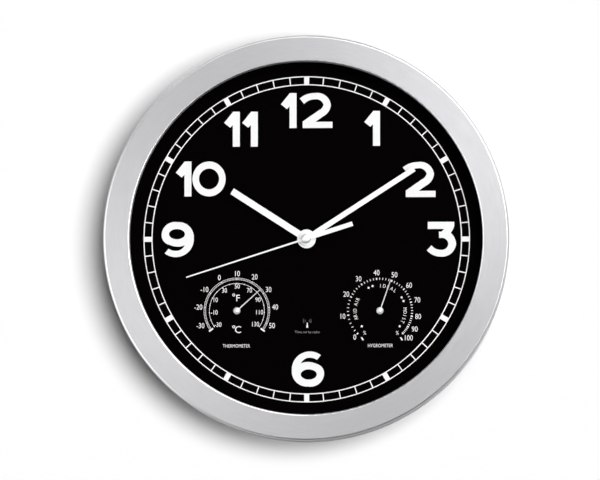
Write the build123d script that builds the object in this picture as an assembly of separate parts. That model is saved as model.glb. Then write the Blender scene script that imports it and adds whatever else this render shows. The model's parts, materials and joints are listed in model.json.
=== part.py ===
from build123d import *
import math
import os

# Round wall clock with a thermometer and a hygrometer in the lower half of the dial.
# All lengths are in millimetres. While it is being built the clock lies on its back:
# X runs to the right, Y up the dial, and Z is the depth from the wall toward the viewer.

# Case, bezel and glass
CASE_DIAMETER = 305.0
BEZEL_WALL = 1.8
BEZEL_EDGE_RADIUS = 2.6
BEZEL_LIP_RADIUS = 1.5
BEZEL_FACE_FALL = 0.6
BEZEL_FRONT_STEP = 5.5
BEZEL_WALL_GAP = 2.0
BEZEL_RIB = 1.6
BEZEL_RIB_STOP = 1.0
GLASS_OVERLAP = 6.5
GLASS_SPACE = 2.8
GLASS_THICKNESS = 2.0
GLASS_BREAK = 0.3
SEAT_CLEARANCE = 0.3
SPACER_FOOT = 5.4
SPACER_TOP = 3.4

# Back case
PLATE_THICKNESS = 2.0
SKIRT_WALL = 2.4
FLANGE_BACK = 8.0
FLANGE_THICKNESS = 2.0
RIM_WALL = 2.0
RIM_BREAK = 0.6
CASE_CLEARANCE = 0.4
COLLAR_WALL = 2.0
COLLAR_HEIGHT = 6.0
COLLAR_CLEARANCE = 0.4
RIB_WIDTH = 2.0
RIB_HEIGHT = 4.5
RIB_ANGLES = (0, 52, 128, 180, 270)
RING_RIB_SPACE = 4.2

# Screws that close the case
CASE_SCREW_COUNT = 6
CASE_SCREW_RADIUS = 1.45
CASE_SCREW_LENGTH = 12.0
CASE_SCREW_HEAD_RADIUS = 2.6
CASE_SCREW_HEAD_CLEARANCE = 0.3
CASE_SCREW_HEAD_HEIGHT = 2.0
SCREW_HOLE_CLEARANCE = 0.25
SCREW_CORE_CLEARANCE = 0.03
SCREW_END_SPACE = 1.0
BOSS_WALL = 2.0
BOSS_SPACE = 2.92
HEAD_ROUND_SHARE = 0.3
RECESS_LENGTH_SHARE = 1.25
RECESS_WIDTH_SHARE = 0.28
RECESS_DEPTH_SHARE = 0.55

# Hanger
HANGER_EDGE_SPACE = 19.6
HANGER_WIDTH = 56.0
HANGER_HEIGHT = 24.0
HANGER_CORNER = 4.0
HANGER_BACK = 2.0
HANGER_THICKNESS = 1.2
KEYHOLE_RADIUS = 5.0
KEYHOLE_SLOT_WIDTH = 5.0
KEYHOLE_DROP = 4.0
KEYHOLE_RISE = 6.0
HANGER_SCREW_EDGE = 8.0
HANGER_SCREW_RADIUS = 1.3
HANGER_SCREW_LENGTH = 9.0
HANGER_SCREW_HEAD_RADIUS = 2.4
HANGER_SCREW_HEAD_HEIGHT = 1.3

# Dial and its print
DIAL_THICKNESS = 1.0
PRINT_THICKNESS = 0.12
DIAL_MARGIN = 9.5
TRACK_WIDTH = 6.8
TRACK_LINE = 0.75
TRACK_MINUTE_WIDTH = 0.8
TRACK_HOUR_WIDTH = 3.8

# Numeral height as a share of the track's outer radius
NUMERAL_HEIGHT_SHARE = 0.2146

# Numeral outlines as shares of the numeral height. A step with one point is a straight
# line to it, a step with two points is an arc through the first to the second.
ONE_SHARES = (
    ((0.0, 0.0),), ((0.0, 1.0),), ((-0.19, 1.0),), ((-0.447, 0.681),), ((-0.276, 0.543),),
    ((-0.2, 0.616),), ((-0.2, 0.0),),
)
TWO_SHARES = (
    ((0.06, 0.0),), ((0.91, 0.0),), ((0.91, 0.178),), ((0.427, 0.178),), ((0.64, 0.33),),
    ((0.81, 0.485), (0.865, 0.66)), ((0.74, 0.905), (0.41, 1.0)), ((0.17, 0.96), (-0.025, 0.846)),
    ((0.1, 0.69),), ((0.235, 0.785), (0.4, 0.82)), ((0.585, 0.775), (0.655, 0.67)),
    ((0.62, 0.585), (0.52, 0.505)), ((0.06, 0.185),),
)
THREE_SHARES = (
    ((0.025, 0.995),), ((0.78, 0.995),), ((0.78, 0.885),), ((0.745, 0.785), (0.68, 0.68)),
    ((0.79, 0.53), (0.832, 0.37)), ((0.71, 0.11), (0.4, 0.0)), ((0.17, 0.05), (0.0, 0.18)),
    ((0.128, 0.325),), ((0.245, 0.228), (0.4, 0.195)), ((0.555, 0.245), (0.612, 0.365)),
    ((0.55, 0.49), (0.43, 0.537)), ((0.348, 0.533),), ((0.342, 0.712),), ((0.418, 0.715),),
    ((0.49, 0.79),), ((0.025, 0.79),),
)
SIX_SHARES = (
    ((0.83, 0.895),), ((0.67, 0.977), (0.495, 1.0)), ((0.135, 0.835), (0.0, 0.45)),
    ((0.13, 0.12), (0.468, 0.0)), ((0.8, 0.1), (0.92, 0.353)), ((0.865, 0.54), (0.69, 0.65)),
    ((0.57, 0.69), (0.45, 0.7)), ((0.35, 0.692), (0.26, 0.655)), ((0.36, 0.78), (0.5, 0.822)),
    ((0.62, 0.808), (0.72, 0.76)),
)
SIX_COUNTER_SHARES = (0.482, 0.344, 0.228, 0.146)
SIX_CENTRE_SHARES = (0.46, 0.5)
ZERO_SHARES = (0.475, 0.5, 0.475, 0.5, 0.2875, 0.297)

# Lower corner of each numeral as shares of the track's outer radius
NUMERAL_PLACE_SHARES = (
    ("one", -0.0621, 0.682), ("two", -0.0375, 0.682), ("one", 0.449, 0.572), ("two", 0.594, 0.2575),
    ("three", 0.736, -0.108), ("six", -0.091, -0.9025), ("nine", -0.889, -0.109),
    ("one", -0.7065, 0.263), ("zero", -0.7005, 0.263), ("one", -0.41, 0.568), ("one", -0.2995, 0.568),
)

# Both instruments, placed on the dial as shares of the track's outer radius
THERMOMETER_X_SHARE = -0.4276
HYGROMETER_X_SHARE = 0.4488
INSTRUMENT_Y_SHARE = -0.439
SCALE_OUTER_RADIUS = 24.9
SCALE_WIDTH = 1.5
LADDER_LINE = 0.22
LADDER_TICK = 0.22
LADDER_DECADE_TICK = 0.6
LADDER_CAP_WIDTH = 1.1
LADDER_CAP_OVERHANG = 1.1
CELSIUS_FIRST = -35
CELSIUS_LAST = 55
CELSIUS_AT_TOP = 10
CELSIUS_DEGREES = 2.81
FAHRENHEIT_GAP = 2.7
FAHRENHEIT_LINE = 0.3
FAHRENHEIT_MARK = 0.7
FAHRENHEIT_FIRST = -30
FAHRENHEIT_LAST = 130
FAHRENHEIT_AT_TOP = 50
FAHRENHEIT_DEGREES = 1.561
HUMIDITY_TICK = 0.5
HUMIDITY_DECADE_TICK = 0.9
HUMIDITY_DECADE_ANGLES = (-135.5, -98, -64.6, -34.8, -6.1, 21.4, 47.9, 74.5, 99.8, 119.7, 135)
HUMIDITY_STEPS = 5

# Bracket, coil and pointer of an instrument
THERMOMETER_ANGLE = 47.7
HYGROMETER_ANGLE = 19.1
INSTRUMENT_WINDOW_RADIUS = 14.0
BRACKET_DEPTH = 6.4
BRACKET_THICKNESS = 1.0
BRACKET_WIDTH = 10.0
BRACKET_FOOT = 9.0
BRACKET_LEG_SPACE = 1.0
ANCHOR_THICKNESS = 0.8
ANCHOR_WIDTH = 3.0
BRACKET_SCREW_RADIUS = 1.0
BRACKET_SCREW_LENGTH = 2.6
BRACKET_SCREW_HEAD_RADIUS = 2.0
BRACKET_SCREW_HEAD_HEIGHT = 1.3
COIL_STRIP = 0.4
COIL_PITCH = 1.2
COIL_HALF_TURNS = 13
COIL_WIDTH = 4.0
COIL_FRONT_SPACE = 1.0
COLLET_RADIUS = 2.0
COLLET_CLEARANCE = 0.08
COLLET_OVERHANG = 0.2
ARBOR_RADIUS = 0.7
ARBOR_COLLAR_RADIUS = 1.4
ARBOR_COLLAR_THICKNESS = 0.6
BEARING_CLEARANCE = 0.05
PRESS_CLEARANCE = 0.02
END_SHAKE = 0.15
POINTER_SHORTNESS = 0.1
POINTER_WIDTH = 0.9
POINTER_TIP_WIDTH = 0.6
POINTER_THICKNESS = 0.4
POINTER_HUB_RADIUS = 2.65
POINTER_HUB_RIM = 1.0
POINTER_HUB_DOME = 1.2
POINTER_GAP = 1.2

# Hands, in the pose of ten past ten. Length shares are of the track's outer radius.
HOUR_ANGLE = 302.7
HOUR_LENGTH_SHARE = 0.5415
HOUR_WIDTH = 5.0
HOUR_HUB_RADIUS = 7.05
MINUTE_ANGLE = 57.1
MINUTE_LENGTH_SHARE = 0.7846
MINUTE_WIDTH = 3.9
MINUTE_HUB_RADIUS = 5.3
SECOND_ANGLE = 252.15
SECOND_LENGTH_SHARE = 0.772
SECOND_WIDTH = 1.3
SECOND_TIP_WIDTH = 0.9
SECOND_TAIL_SHARE = 0.2967
SECOND_TAIL_WIDTH = 3.4
HAND_THICKNESS = 0.6
HAND_COLLAR_DEPTH = 0.9
HAND_COLLAR_WALL = 0.8
HAND_PROUD = 0.2
HOUR_HAND_GAP = 0.3
MINUTE_HAND_GAP = 0.7
SECOND_HAND_GAP = 0.5
CAP_RADIUS = 3.4
CAP_RIM = 0.8
CAP_DOME = 1.3
CAP_BORE_DEPTH = 0.6

# Movement housing
MOVEMENT_BACK = 3.0
MOVEMENT_CORNER = 3.0
MOVEMENT_EDGE = 0.6
COVER_THICKNESS = 1.5
COVER_SKIRT = 1.0
COVER_SKIRT_HEIGHT = 0.8
COVER_FIT = 0.2
BASE_WALL = 1.4
BASE_FRONT_WALL = 1.5
DIVIDER_WALL = 1.2
FINGER_NOTCH_WIDTH = 24.0
FINGER_NOTCH_DEPTH = 6.5
RUBBER_WASHER_THICKNESS = 0.5
RUBBER_WASHER_RADIUS = 9.0
POST_RADIUS = 1.45
PILASTER_WIDTH = 5.0
PILASTER_DEPTH = 1.0
MOVEMENT_SCREW_RADIUS = 0.75
MOVEMENT_SCREW_LENGTH = 9.0
MOVEMENT_SCREW_HEAD_RADIUS = 1.5
MOVEMENT_SCREW_HEAD_HEIGHT = 0.8
HEAD_POCKET_DEPTH = 0.9
TRAIN_PLATE_THICKNESS = 1.0
TRAIN_PLATE_SPACE = 1.0
TRAIN_PLATE_GAP = 2.35
TRAIN_FLOOR_SPACE = 0.85
TRAIN_SIDE_SPACE = 0.4

# Threaded bushing and what it clamps
BUSHING_RADIUS = 4.0
BUSHING_SHOULDER_RADIUS = 5.5
BUSHING_PROUD = 0.7
BUSHING_HOLE_CLEARANCE = 0.2
NUT_ACROSS_FLATS = 11.0
NUT_THICKNESS = 2.5
DIAL_WASHER_RADIUS = 6.6
DIAL_WASHER_THICKNESS = 0.5

# Pipes and arbors of the train
SECOND_SHAFT_RADIUS = 0.5
PIPE_WALL = 1.05
HOUR_PIPE_WALL = 0.9
PIPE_CLEARANCE = 0.06
TRAIN_ARBOR_RADIUS = 0.6
PIVOT_RADIUS = 0.4
PIVOT_LENGTH = 0.9
TRANSFER_POST_RADIUS = 0.75

# Wheels: layers are counted from the front wall of the movement
LAYER_COUNT = 6
WHEEL_THICKNESS = 1.0
WHEEL_SPACE = 0.5
FRONT_SPACE = 0.4
PRESSURE_ANGLE = 20.0
PINION_ADDENDUM_SHARE = 0.8
PINION_DEDENDUM_SHARE = 1.2
WHEEL_ADDENDUM_SHARE = 0.6
WHEEL_DEDENDUM_SHARE = 1.1
TOOTH_THINNING = 0.1
FLANK_STEPS = 4
SECONDS_MODULE = 0.3
MINUTES_MODULE = 0.36
THIRD_MODULE = 0.45
CANNON_MODULE = 0.375
ROTOR_TEETH = 8
PINION_TEETH = 10
CANNON_TEETH = 12
SECONDS_WHEEL_TEETH = 50
SECONDS_INTERMEDIATE_TEETH = 48
MINUTES_INTERMEDIATE_TEETH = 40
THIRD_TEETH = 40
MINUTE_TEETH = 30
TRANSFER_TEETH = 36
HOUR_TEETH = 40
TRANSFER_DIRECTION = 90
THIRD_DIRECTION = -15
MINUTES_INTERMEDIATE_DIRECTION = 20
MINUTES_ROTOR_DIRECTION = 100
SECONDS_INTERMEDIATE_DIRECTION = 190
SECONDS_ROTOR_DIRECTION = 110

# Stepping motors
MAGNET_RADIUS = 3.0
MAGNET_THICKNESS = 1.8
MAGNET_SPACE = 0.3
AIR_GAP = 0.45
STATOR_THICKNESS = 1.0
STATOR_HEIGHT = 9.2
STATOR_ARM_OFFSET = 8.0
STATOR_ARM_WIDTH = 3.2
WINDING_SPACE = 0.3
WINDING_RADIUS = 2.0
BOBBIN_RADIUS = 2.35
BOBBIN_FLANGE = 0.6
BOBBIN_SPACE = 0.4
CORE_WIDTH = 2.4

# Receiver and circuit
ROD_SPACE = 0.6
ROD_END_SPACE = 2.2
ROD_WINDING_WALL = 0.8
ROD_WINDING_LENGTH = 16.0
CRADLE_X = 15.0
CRADLE_WIDTH = 1.4
CRADLE_WALL = 1.0
BOARD_THICKNESS = 1.0
BOARD_HEIGHT = 6.8
BOARD_GAP = 0.6
BOARD_SPACE = 0.35
CHIP_LENGTH = 7.0
CHIP_WIDTH = 4.4
CHIP_HEIGHT = 1.3
CHIP_X = -10.0
CRYSTAL_RADIUS = 1.0
CRYSTAL_LENGTH = 6.2
CRYSTAL_X = 8.0
SWITCH_SIZE = 3.6
SWITCH_HEIGHT = 0.9
SWITCH_DOME_RADIUS = 1.0
SWITCH_DOME_HEIGHT = 0.3
BUTTON_RADIUS = 1.7
BUTTON_PROUD = 1.0
BUTTON_ROUND = 0.35
BUTTON_FLANGE_RADIUS = 2.2
BUTTON_FLANGE = 0.3
BUTTON_CLEARANCE = 0.08
SET_BUTTON_X = -16.0
RESET_BUTTON_X = -8.0
WAVE_BUTTON_X = 14.0

# Battery and contacts
BATTERY_RADIUS = 7.1
BATTERY_BODY_LENGTH = 49.2
BATTERY_NUB_RADIUS = 2.7
BATTERY_NUB_LENGTH = 1.2
BATTERY_EDGE = 0.6
BATTERY_CLEARANCE = 0.3
CONTACT_THICKNESS = 0.4
CONTACT_WIDTH = 9.0
CONTACT_DEPTH = 10.0
LEAF_SPACE = 2.4
LEAF_THICKNESS = 0.3
LEAF_TIP_WIDTH = 2.4

# Radii derived from the case
outer_radius = CASE_DIAMETER / 2
bezel_inside = outer_radius - BEZEL_WALL
rim_radius = bezel_inside - CASE_CLEARANCE
boss_circle = rim_radius - RIM_WALL - CASE_SCREW_HEAD_CLEARANCE - CASE_SCREW_HEAD_RADIUS
boss_hole_radius = CASE_SCREW_RADIUS + SCREW_CORE_CLEARANCE
boss_radius = boss_hole_radius + BOSS_WALL
glass_radius = boss_circle - boss_radius - BOSS_SPACE
window_radius = glass_radius - GLASS_OVERLAP
seat_radius = glass_radius + SEAT_CLEARANCE
rib_radius = seat_radius + BEZEL_RIB
skirt_inside = glass_radius - SKIRT_WALL

# Layout of the dial and the hanger
track_outer_radius = window_radius - DIAL_MARGIN
track_inner_radius = track_outer_radius - TRACK_WIDTH
numeral_height = track_outer_radius * NUMERAL_HEIGHT_SHARE
thermometer_x = track_outer_radius * THERMOMETER_X_SHARE
hygrometer_x = track_outer_radius * HYGROMETER_X_SHARE
instrument_y = track_outer_radius * INSTRUMENT_Y_SHARE
scale_inner_radius = SCALE_OUTER_RADIUS - SCALE_WIDTH
fahrenheit_radius = scale_inner_radius - FAHRENHEIT_GAP
pointer_length = SCALE_OUTER_RADIUS - POINTER_SHORTNESS
hour_length = track_outer_radius * HOUR_LENGTH_SHARE
minute_length = track_outer_radius * MINUTE_LENGTH_SHARE
second_length = track_outer_radius * SECOND_LENGTH_SHARE
second_tail_length = track_outer_radius * SECOND_TAIL_SHARE
hanger_y = skirt_inside - HANGER_EDGE_SPACE
hanger_screw_x = HANGER_WIDTH / 2 - HANGER_SCREW_EDGE

# Depths of the movement, from the back of its cover to its front wall
cover_front = MOVEMENT_BACK + COVER_THICKNESS
train_plate_back = cover_front + TRAIN_PLATE_SPACE
train_plate_front = train_plate_back + TRAIN_PLATE_THICKNESS
magnet_back = train_plate_front + MAGNET_SPACE
magnet_front = magnet_back + MAGNET_THICKNESS
chamber_front = magnet_front + LAYER_COUNT * (WHEEL_SPACE + WHEEL_THICKNESS) + FRONT_SPACE
base_front = chamber_front + BASE_FRONT_WALL

# Depths of the case and the dial
plate_back = base_front + RUBBER_WASHER_THICKNESS
plate_front = plate_back + PLATE_THICKNESS
dial_front = plate_front + DIAL_THICKNESS
print_front = dial_front + PRINT_THICKNESS
flange_front = FLANGE_BACK + FLANGE_THICKNESS
hanger_front = HANGER_BACK + HANGER_THICKNESS
bridge_front = plate_back - BRACKET_DEPTH
bridge_back = bridge_front - BRACKET_THICKNESS
coil_back = bridge_front + COIL_FRONT_SPACE
coil_front = coil_back + COIL_WIDTH
pointer_back = dial_front + POINTER_GAP

# Depths of the hands and what covers them
nut_back = dial_front + DIAL_WASHER_THICKNESS
nut_front = nut_back + NUT_THICKNESS
bushing_front = nut_front + BUSHING_PROUD
hand_depth = HAND_COLLAR_DEPTH + HAND_THICKNESS + HAND_PROUD
hour_pipe_front = bushing_front + HOUR_HAND_GAP + hand_depth
minute_pipe_front = hour_pipe_front + MINUTE_HAND_GAP + hand_depth
second_shaft_front = minute_pipe_front + SECOND_HAND_GAP + hand_depth
cap_back = second_shaft_front - HAND_PROUD
cap_front = cap_back + CAP_RIM + CAP_DOME
glass_back = cap_front + GLASS_SPACE
glass_front = glass_back + GLASS_THICKNESS
bezel_front = glass_front + BEZEL_FRONT_STEP

# Pipes, coils and brackets
minute_pipe_bore = SECOND_SHAFT_RADIUS + PIPE_CLEARANCE
minute_pipe_radius = minute_pipe_bore + PIPE_WALL
hour_pipe_bore = minute_pipe_radius + PIPE_CLEARANCE
hour_pipe_radius = hour_pipe_bore + HOUR_PIPE_WALL
bushing_bore = hour_pipe_radius + PIPE_CLEARANCE
coil_inner_radius = COLLET_RADIUS + COLLET_CLEARANCE + COIL_STRIP / 2
coil_outer_radius = coil_inner_radius + (COIL_HALF_TURNS - 1) * COIL_PITCH / 2 + COIL_STRIP / 2
bracket_leg = INSTRUMENT_WINDOW_RADIUS + BRACKET_LEG_SPACE
bracket_end = bracket_leg + BRACKET_FOOT
bracket_screw_x = (bracket_leg + BRACKET_THICKNESS + bracket_end) / 2
bracket_reach = max(abs(thermometer_x), abs(hygrometer_x)) + bracket_end
ring_rib = math.hypot(bracket_reach, abs(instrument_y) + BRACKET_WIDTH / 2) + RING_RIB_SPACE


def polar(start, distance, degrees):
    """Point at a distance and a direction from another."""
    angle = math.radians(degrees)
    return start[0] + distance * math.cos(angle), start[1] + distance * math.sin(angle)


def layer(number):
    """Back and front depth of a wheel layer."""
    front = chamber_front - FRONT_SPACE - number * (WHEEL_THICKNESS + WHEEL_SPACE)
    return front - WHEEL_THICKNESS, front


hour_layer, cannon_layer, minute_layer = layer(0), layer(1), layer(2)
third_layer, seconds_layer, first_layer = layer(3), layer(4), layer(LAYER_COUNT - 1)

# Axes of the train, one distance per pair of wheels
hand_axis = (0, 0)
transfer_distance = CANNON_MODULE * (CANNON_TEETH + TRANSFER_TEETH) / 2
hour_module = 2 * transfer_distance / (PINION_TEETH + HOUR_TEETH)
transfer_axis = polar(hand_axis, transfer_distance, TRANSFER_DIRECTION)
third_axis = polar(hand_axis, THIRD_MODULE * (MINUTE_TEETH + PINION_TEETH) / 2, THIRD_DIRECTION)
minutes_intermediate_axis = polar(
    third_axis, MINUTES_MODULE * (THIRD_TEETH + PINION_TEETH) / 2, MINUTES_INTERMEDIATE_DIRECTION)
minutes_rotor_axis = polar(
    minutes_intermediate_axis, MINUTES_MODULE * (MINUTES_INTERMEDIATE_TEETH + ROTOR_TEETH) / 2,
    MINUTES_ROTOR_DIRECTION)
seconds_intermediate_axis = polar(
    hand_axis, SECONDS_MODULE * (SECONDS_WHEEL_TEETH + PINION_TEETH) / 2, SECONDS_INTERMEDIATE_DIRECTION)
seconds_rotor_axis = polar(
    seconds_intermediate_axis, SECONDS_MODULE * (SECONDS_INTERMEDIATE_TEETH + ROTOR_TEETH) / 2,
    SECONDS_ROTOR_DIRECTION)
pivoted_axes = (third_axis, minutes_intermediate_axis, minutes_rotor_axis,
                seconds_intermediate_axis, seconds_rotor_axis)


def reach(teeth, module):
    """Radius to the tips of a wheel's teeth."""
    return teeth * module / 2 + module * WHEEL_ADDENDUM_SHARE


# Movement plan: the chamber holds the train, the motors and the board, and the bay the cell
train_floor = min(
    -reach(SECONDS_WHEEL_TEETH, SECONDS_MODULE),
    third_axis[1] - reach(THIRD_TEETH, MINUTES_MODULE),
    minutes_intermediate_axis[1] - reach(MINUTES_INTERMEDIATE_TEETH, MINUTES_MODULE),
    seconds_intermediate_axis[1] - reach(SECONDS_INTERMEDIATE_TEETH, SECONDS_MODULE))
stator_side = STATOR_ARM_OFFSET + STATOR_ARM_WIDTH / 2
motor_side = max(abs(minutes_rotor_axis[0]), abs(seconds_rotor_axis[0])) + stator_side
cell_room = CONTACT_THICKNESS + BATTERY_NUB_LENGTH + BATTERY_BODY_LENGTH + LEAF_SPACE
chamber_side = max(motor_side + TRAIN_SIDE_SPACE, cell_room / 2)
stator_top = max(minutes_rotor_axis[1], seconds_rotor_axis[1]) + STATOR_HEIGHT / 2
winding_y = stator_top + WINDING_SPACE + BOBBIN_RADIUS
train_plate_top = winding_y - BOBBIN_RADIUS - TRAIN_PLATE_GAP
board_bottom = winding_y + BOBBIN_RADIUS + BOARD_SPACE
board_top = board_bottom + BOARD_HEIGHT
board_y = (board_top + board_bottom) / 2
board_back = train_plate_front
board_front = board_back + BOARD_THICKNESS
chamber_top = board_top + BOARD_GAP
chamber_bottom = train_floor - TRAIN_FLOOR_SPACE
bay_top = chamber_bottom - DIVIDER_WALL
battery_y = bay_top - BATTERY_CLEARANCE - BATTERY_RADIUS
bay_bottom = battery_y - BATTERY_RADIUS - BATTERY_CLEARANCE
battery_z = chamber_front - BATTERY_CLEARANCE - BATTERY_RADIUS
battery_nub_end = chamber_side - CONTACT_THICKNESS
battery_plus_end = battery_nub_end - BATTERY_NUB_LENGTH
battery_minus_end = battery_plus_end - BATTERY_BODY_LENGTH
movement_side = chamber_side + BASE_WALL
movement_top = chamber_top + BASE_WALL
movement_bottom = bay_bottom - BASE_WALL
post_x = chamber_side - POST_RADIUS
lower_posts = [(side * post_x, chamber_bottom + POST_RADIUS) for side in (-1, 1)]
upper_posts = [(side * post_x, board_y) for side in (-1, 1)]
button_places = (SET_BUTTON_X, RESET_BUTTON_X, WAVE_BUTTON_X)
parts_front = board_front + max(CHIP_HEIGHT, 2 * CRYSTAL_RADIUS)
rod_z = (parts_front + chamber_front) / 2
rod_winding_radius = (chamber_front - parts_front) / 2 - ROD_SPACE
rod_radius = rod_winding_radius - ROD_WINDING_WALL
rod_y = chamber_top - ROD_SPACE - rod_winding_radius
rod_length = 2 * (post_x - POST_RADIUS - ROD_END_SPACE)


def disc(radius, back, front, place=(0, 0)):
    """Round slab between two depths."""
    return Pos(place[0], place[1], back) * extrude(Circle(radius), front - back)


def tube(outer, inner, back, front, place=(0, 0)):
    """Round slab with a bore."""
    return Pos(place[0], place[1], back) * extrude(Circle(outer) - Circle(inner), front - back)


def block(left, right, bottom, top, back, front):
    """Rectangular slab between six planes."""
    outline = Pos((left + right) / 2, (bottom + top) / 2) * Rectangle(right - left, top - bottom)
    return Pos(0, 0, back) * extrude(outline, front - back)


def slab(outline, back, front):
    """Flat outline given a back and a front."""
    return Pos(0, 0, back) * extrude(outline, front - back)


def turned(points):
    """Body of revolution about the depth axis from radius and depth pairs."""
    return revolve(Plane.XZ * make_face(Polyline(*points, close=True)), Axis.Z)


def domed(radius, back, rim, top):
    """Round button with a domed front."""
    sides = Polyline((0, top), (0, back), (radius, back), (radius, rim))
    dome = TangentArc((0, top), (radius, rim), tangent=(1, 0))
    return revolve(Plane.XZ * make_face(sides.edges() + dome.edges()), Axis.Z)


def screw(head_radius, head_height, radius, length):
    """Pan head screw with a cross recess, seated at depth 0 with its head behind it."""
    head = disc(head_radius, -head_height, 0)
    rear_edge = head.edges().group_by(Axis.Z)[0]
    head = fillet(rear_edge, head_height * HEAD_ROUND_SHARE)
    slot_length = head_radius * RECESS_LENGTH_SHARE / 2
    slot_width = head_radius * RECESS_WIDTH_SHARE / 2
    slot_floor = head_height * RECESS_DEPTH_SHARE - head_height
    head -= block(-slot_length, slot_length, -slot_width, slot_width, -head_height, slot_floor)
    head -= block(-slot_width, slot_width, -slot_length, slot_length, -head_height, slot_floor)
    return head + disc(radius, 0, length)


def group(shapes):
    """Separate solids kept in one piece."""
    return Compound([solid for shape in shapes for solid in shape.solids()])


def ring_places(count, radius):
    """Places spread evenly round the dial's centre."""
    return [polar((0, 0), radius, number * 360 / count) for number in range(count)]


# Case
def bezel_ring():
    shoulder = bezel_front - BEZEL_FACE_FALL
    face_back = shoulder - BEZEL_WALL
    edge = shoulder - BEZEL_EDGE_RADIUS
    rib_end = dial_front + BEZEL_RIB_STOP
    face_end = (outer_radius - BEZEL_EDGE_RADIUS, shoulder)
    lip_start = (window_radius, bezel_front - BEZEL_LIP_RADIUS)
    lip_end = (window_radius + BEZEL_LIP_RADIUS, bezel_front)
    outline = [
        Line((outer_radius, BEZEL_WALL_GAP), (outer_radius, edge)),
        TangentArc((outer_radius, edge), face_end, tangent=(0, 1)),
        TangentArc(lip_end, face_end, tangent=(1, 0)),
        TangentArc(lip_start, lip_end, tangent=(0, 1)),
        Polyline(
            lip_start, (window_radius, glass_front), (seat_radius, glass_front), (seat_radius, rib_end),
            (rib_radius, rib_end), (rib_radius, face_back), (bezel_inside, face_back),
            (bezel_inside, BEZEL_WALL_GAP), (outer_radius, BEZEL_WALL_GAP)),
    ]
    edges = [edge for line in outline for edge in line.edges()]
    ring = revolve(Plane.XZ * make_face(edges), Axis.Z)
    hole_end = FLANGE_BACK + CASE_SCREW_LENGTH + SCREW_END_SPACE
    for place in ring_places(CASE_SCREW_COUNT, boss_circle):
        ring += disc(boss_radius, flange_front, face_back, place)
        ring -= disc(boss_hole_radius, flange_front, hole_end, place)
    return ring


def front_glass():
    glass = disc(glass_radius, glass_back, glass_front)
    return chamfer(glass.edges(), GLASS_BREAK)


def dial_spacer_ring():
    return turned((
        (glass_radius - SPACER_FOOT, dial_front), (glass_radius, dial_front),
        (glass_radius, glass_back), (glass_radius - SPACER_TOP, glass_back)))


def back_case():
    case = turned((
        (0, plate_front), (glass_radius, plate_front), (glass_radius, flange_front),
        (rim_radius, flange_front), (rim_radius, RIM_BREAK), (rim_radius - RIM_BREAK, 0),
        (rim_radius - RIM_WALL, 0), (rim_radius - RIM_WALL, FLANGE_BACK), (skirt_inside, FLANGE_BACK),
        (skirt_inside, plate_back), (0, plate_back)))
    rib_back = plate_back - RIB_HEIGHT
    for degrees in RIB_ANGLES:
        rib = block(0, glass_radius - SKIRT_WALL / 2, -RIB_WIDTH / 2, RIB_WIDTH / 2, rib_back, plate_back)
        case += Rot(0, 0, degrees) * rib
    case += tube(ring_rib + RIB_WIDTH, ring_rib, rib_back, plate_back)
    collar_back = plate_back - COLLAR_HEIGHT
    room = COLLAR_CLEARANCE
    wide = COLLAR_CLEARANCE + COLLAR_WALL
    case += block(-movement_side - wide, movement_side + wide, movement_bottom - wide, movement_top + wide,
                  collar_back, plate_back)
    case -= block(-movement_side - room, movement_side + room, movement_bottom - room, movement_top + room,
                  min(collar_back, rib_back), plate_back)
    screw_hole = HANGER_SCREW_RADIUS + SCREW_CORE_CLEARANCE
    hole_end = HANGER_BACK + HANGER_SCREW_LENGTH + SCREW_END_SPACE
    for x in (-hanger_screw_x, hanger_screw_x):
        place = (x, hanger_y)
        case += disc(screw_hole + BOSS_WALL, hanger_front, plate_back, place)
        case -= disc(screw_hole, hanger_front, hole_end, place)
    case -= disc(BUSHING_RADIUS + BUSHING_HOLE_CLEARANCE, plate_back, plate_front)
    for place in ring_places(CASE_SCREW_COUNT, boss_circle):
        case -= disc(CASE_SCREW_RADIUS + SCREW_HOLE_CLEARANCE, FLANGE_BACK, flange_front, place)
    for x in (thermometer_x, hygrometer_x):
        case -= disc(INSTRUMENT_WINDOW_RADIUS, plate_back, plate_front, (x, instrument_y))
        for side in (-bracket_screw_x, bracket_screw_x):
            case -= disc(BRACKET_SCREW_RADIUS + SCREW_CORE_CLEARANCE, plate_back, plate_front,
                         (x + side, instrument_y))
    return case


def case_screws():
    one = screw(CASE_SCREW_HEAD_RADIUS, CASE_SCREW_HEAD_HEIGHT, CASE_SCREW_RADIUS, CASE_SCREW_LENGTH)
    return group(Pos(x, y, FLANGE_BACK) * one for x, y in ring_places(CASE_SCREW_COUNT, boss_circle))


# Hanger
def hanger_plate():
    outline = RectangleRounded(HANGER_WIDTH, HANGER_HEIGHT, HANGER_CORNER)
    outline -= Pos(0, -KEYHOLE_DROP) * Circle(KEYHOLE_RADIUS)
    slot_length = KEYHOLE_RISE + KEYHOLE_DROP
    outline -= Pos(0, KEYHOLE_RISE) * Circle(KEYHOLE_SLOT_WIDTH / 2)
    outline -= Pos(0, KEYHOLE_RISE - slot_length / 2) * Rectangle(KEYHOLE_SLOT_WIDTH, slot_length)
    for x in (-hanger_screw_x, hanger_screw_x):
        outline -= Pos(x, 0) * Circle(HANGER_SCREW_RADIUS + SCREW_HOLE_CLEARANCE)
    return Pos(0, hanger_y) * slab(outline, HANGER_BACK, hanger_front)


def hanger_screws():
    one = screw(HANGER_SCREW_HEAD_RADIUS, HANGER_SCREW_HEAD_HEIGHT, HANGER_SCREW_RADIUS, HANGER_SCREW_LENGTH)
    return group(Pos(x, hanger_y, HANGER_BACK) * one for x in (-hanger_screw_x, hanger_screw_x))


# Dial and print
def dial_plate():
    dial = disc(glass_radius, plate_front, dial_front)
    dial -= disc(BUSHING_RADIUS + BUSHING_HOLE_CLEARANCE, plate_front, dial_front)
    for x in (thermometer_x, hygrometer_x):
        dial -= disc(ARBOR_RADIUS + BEARING_CLEARANCE, plate_front, dial_front, (x, instrument_y))
    return dial


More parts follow.
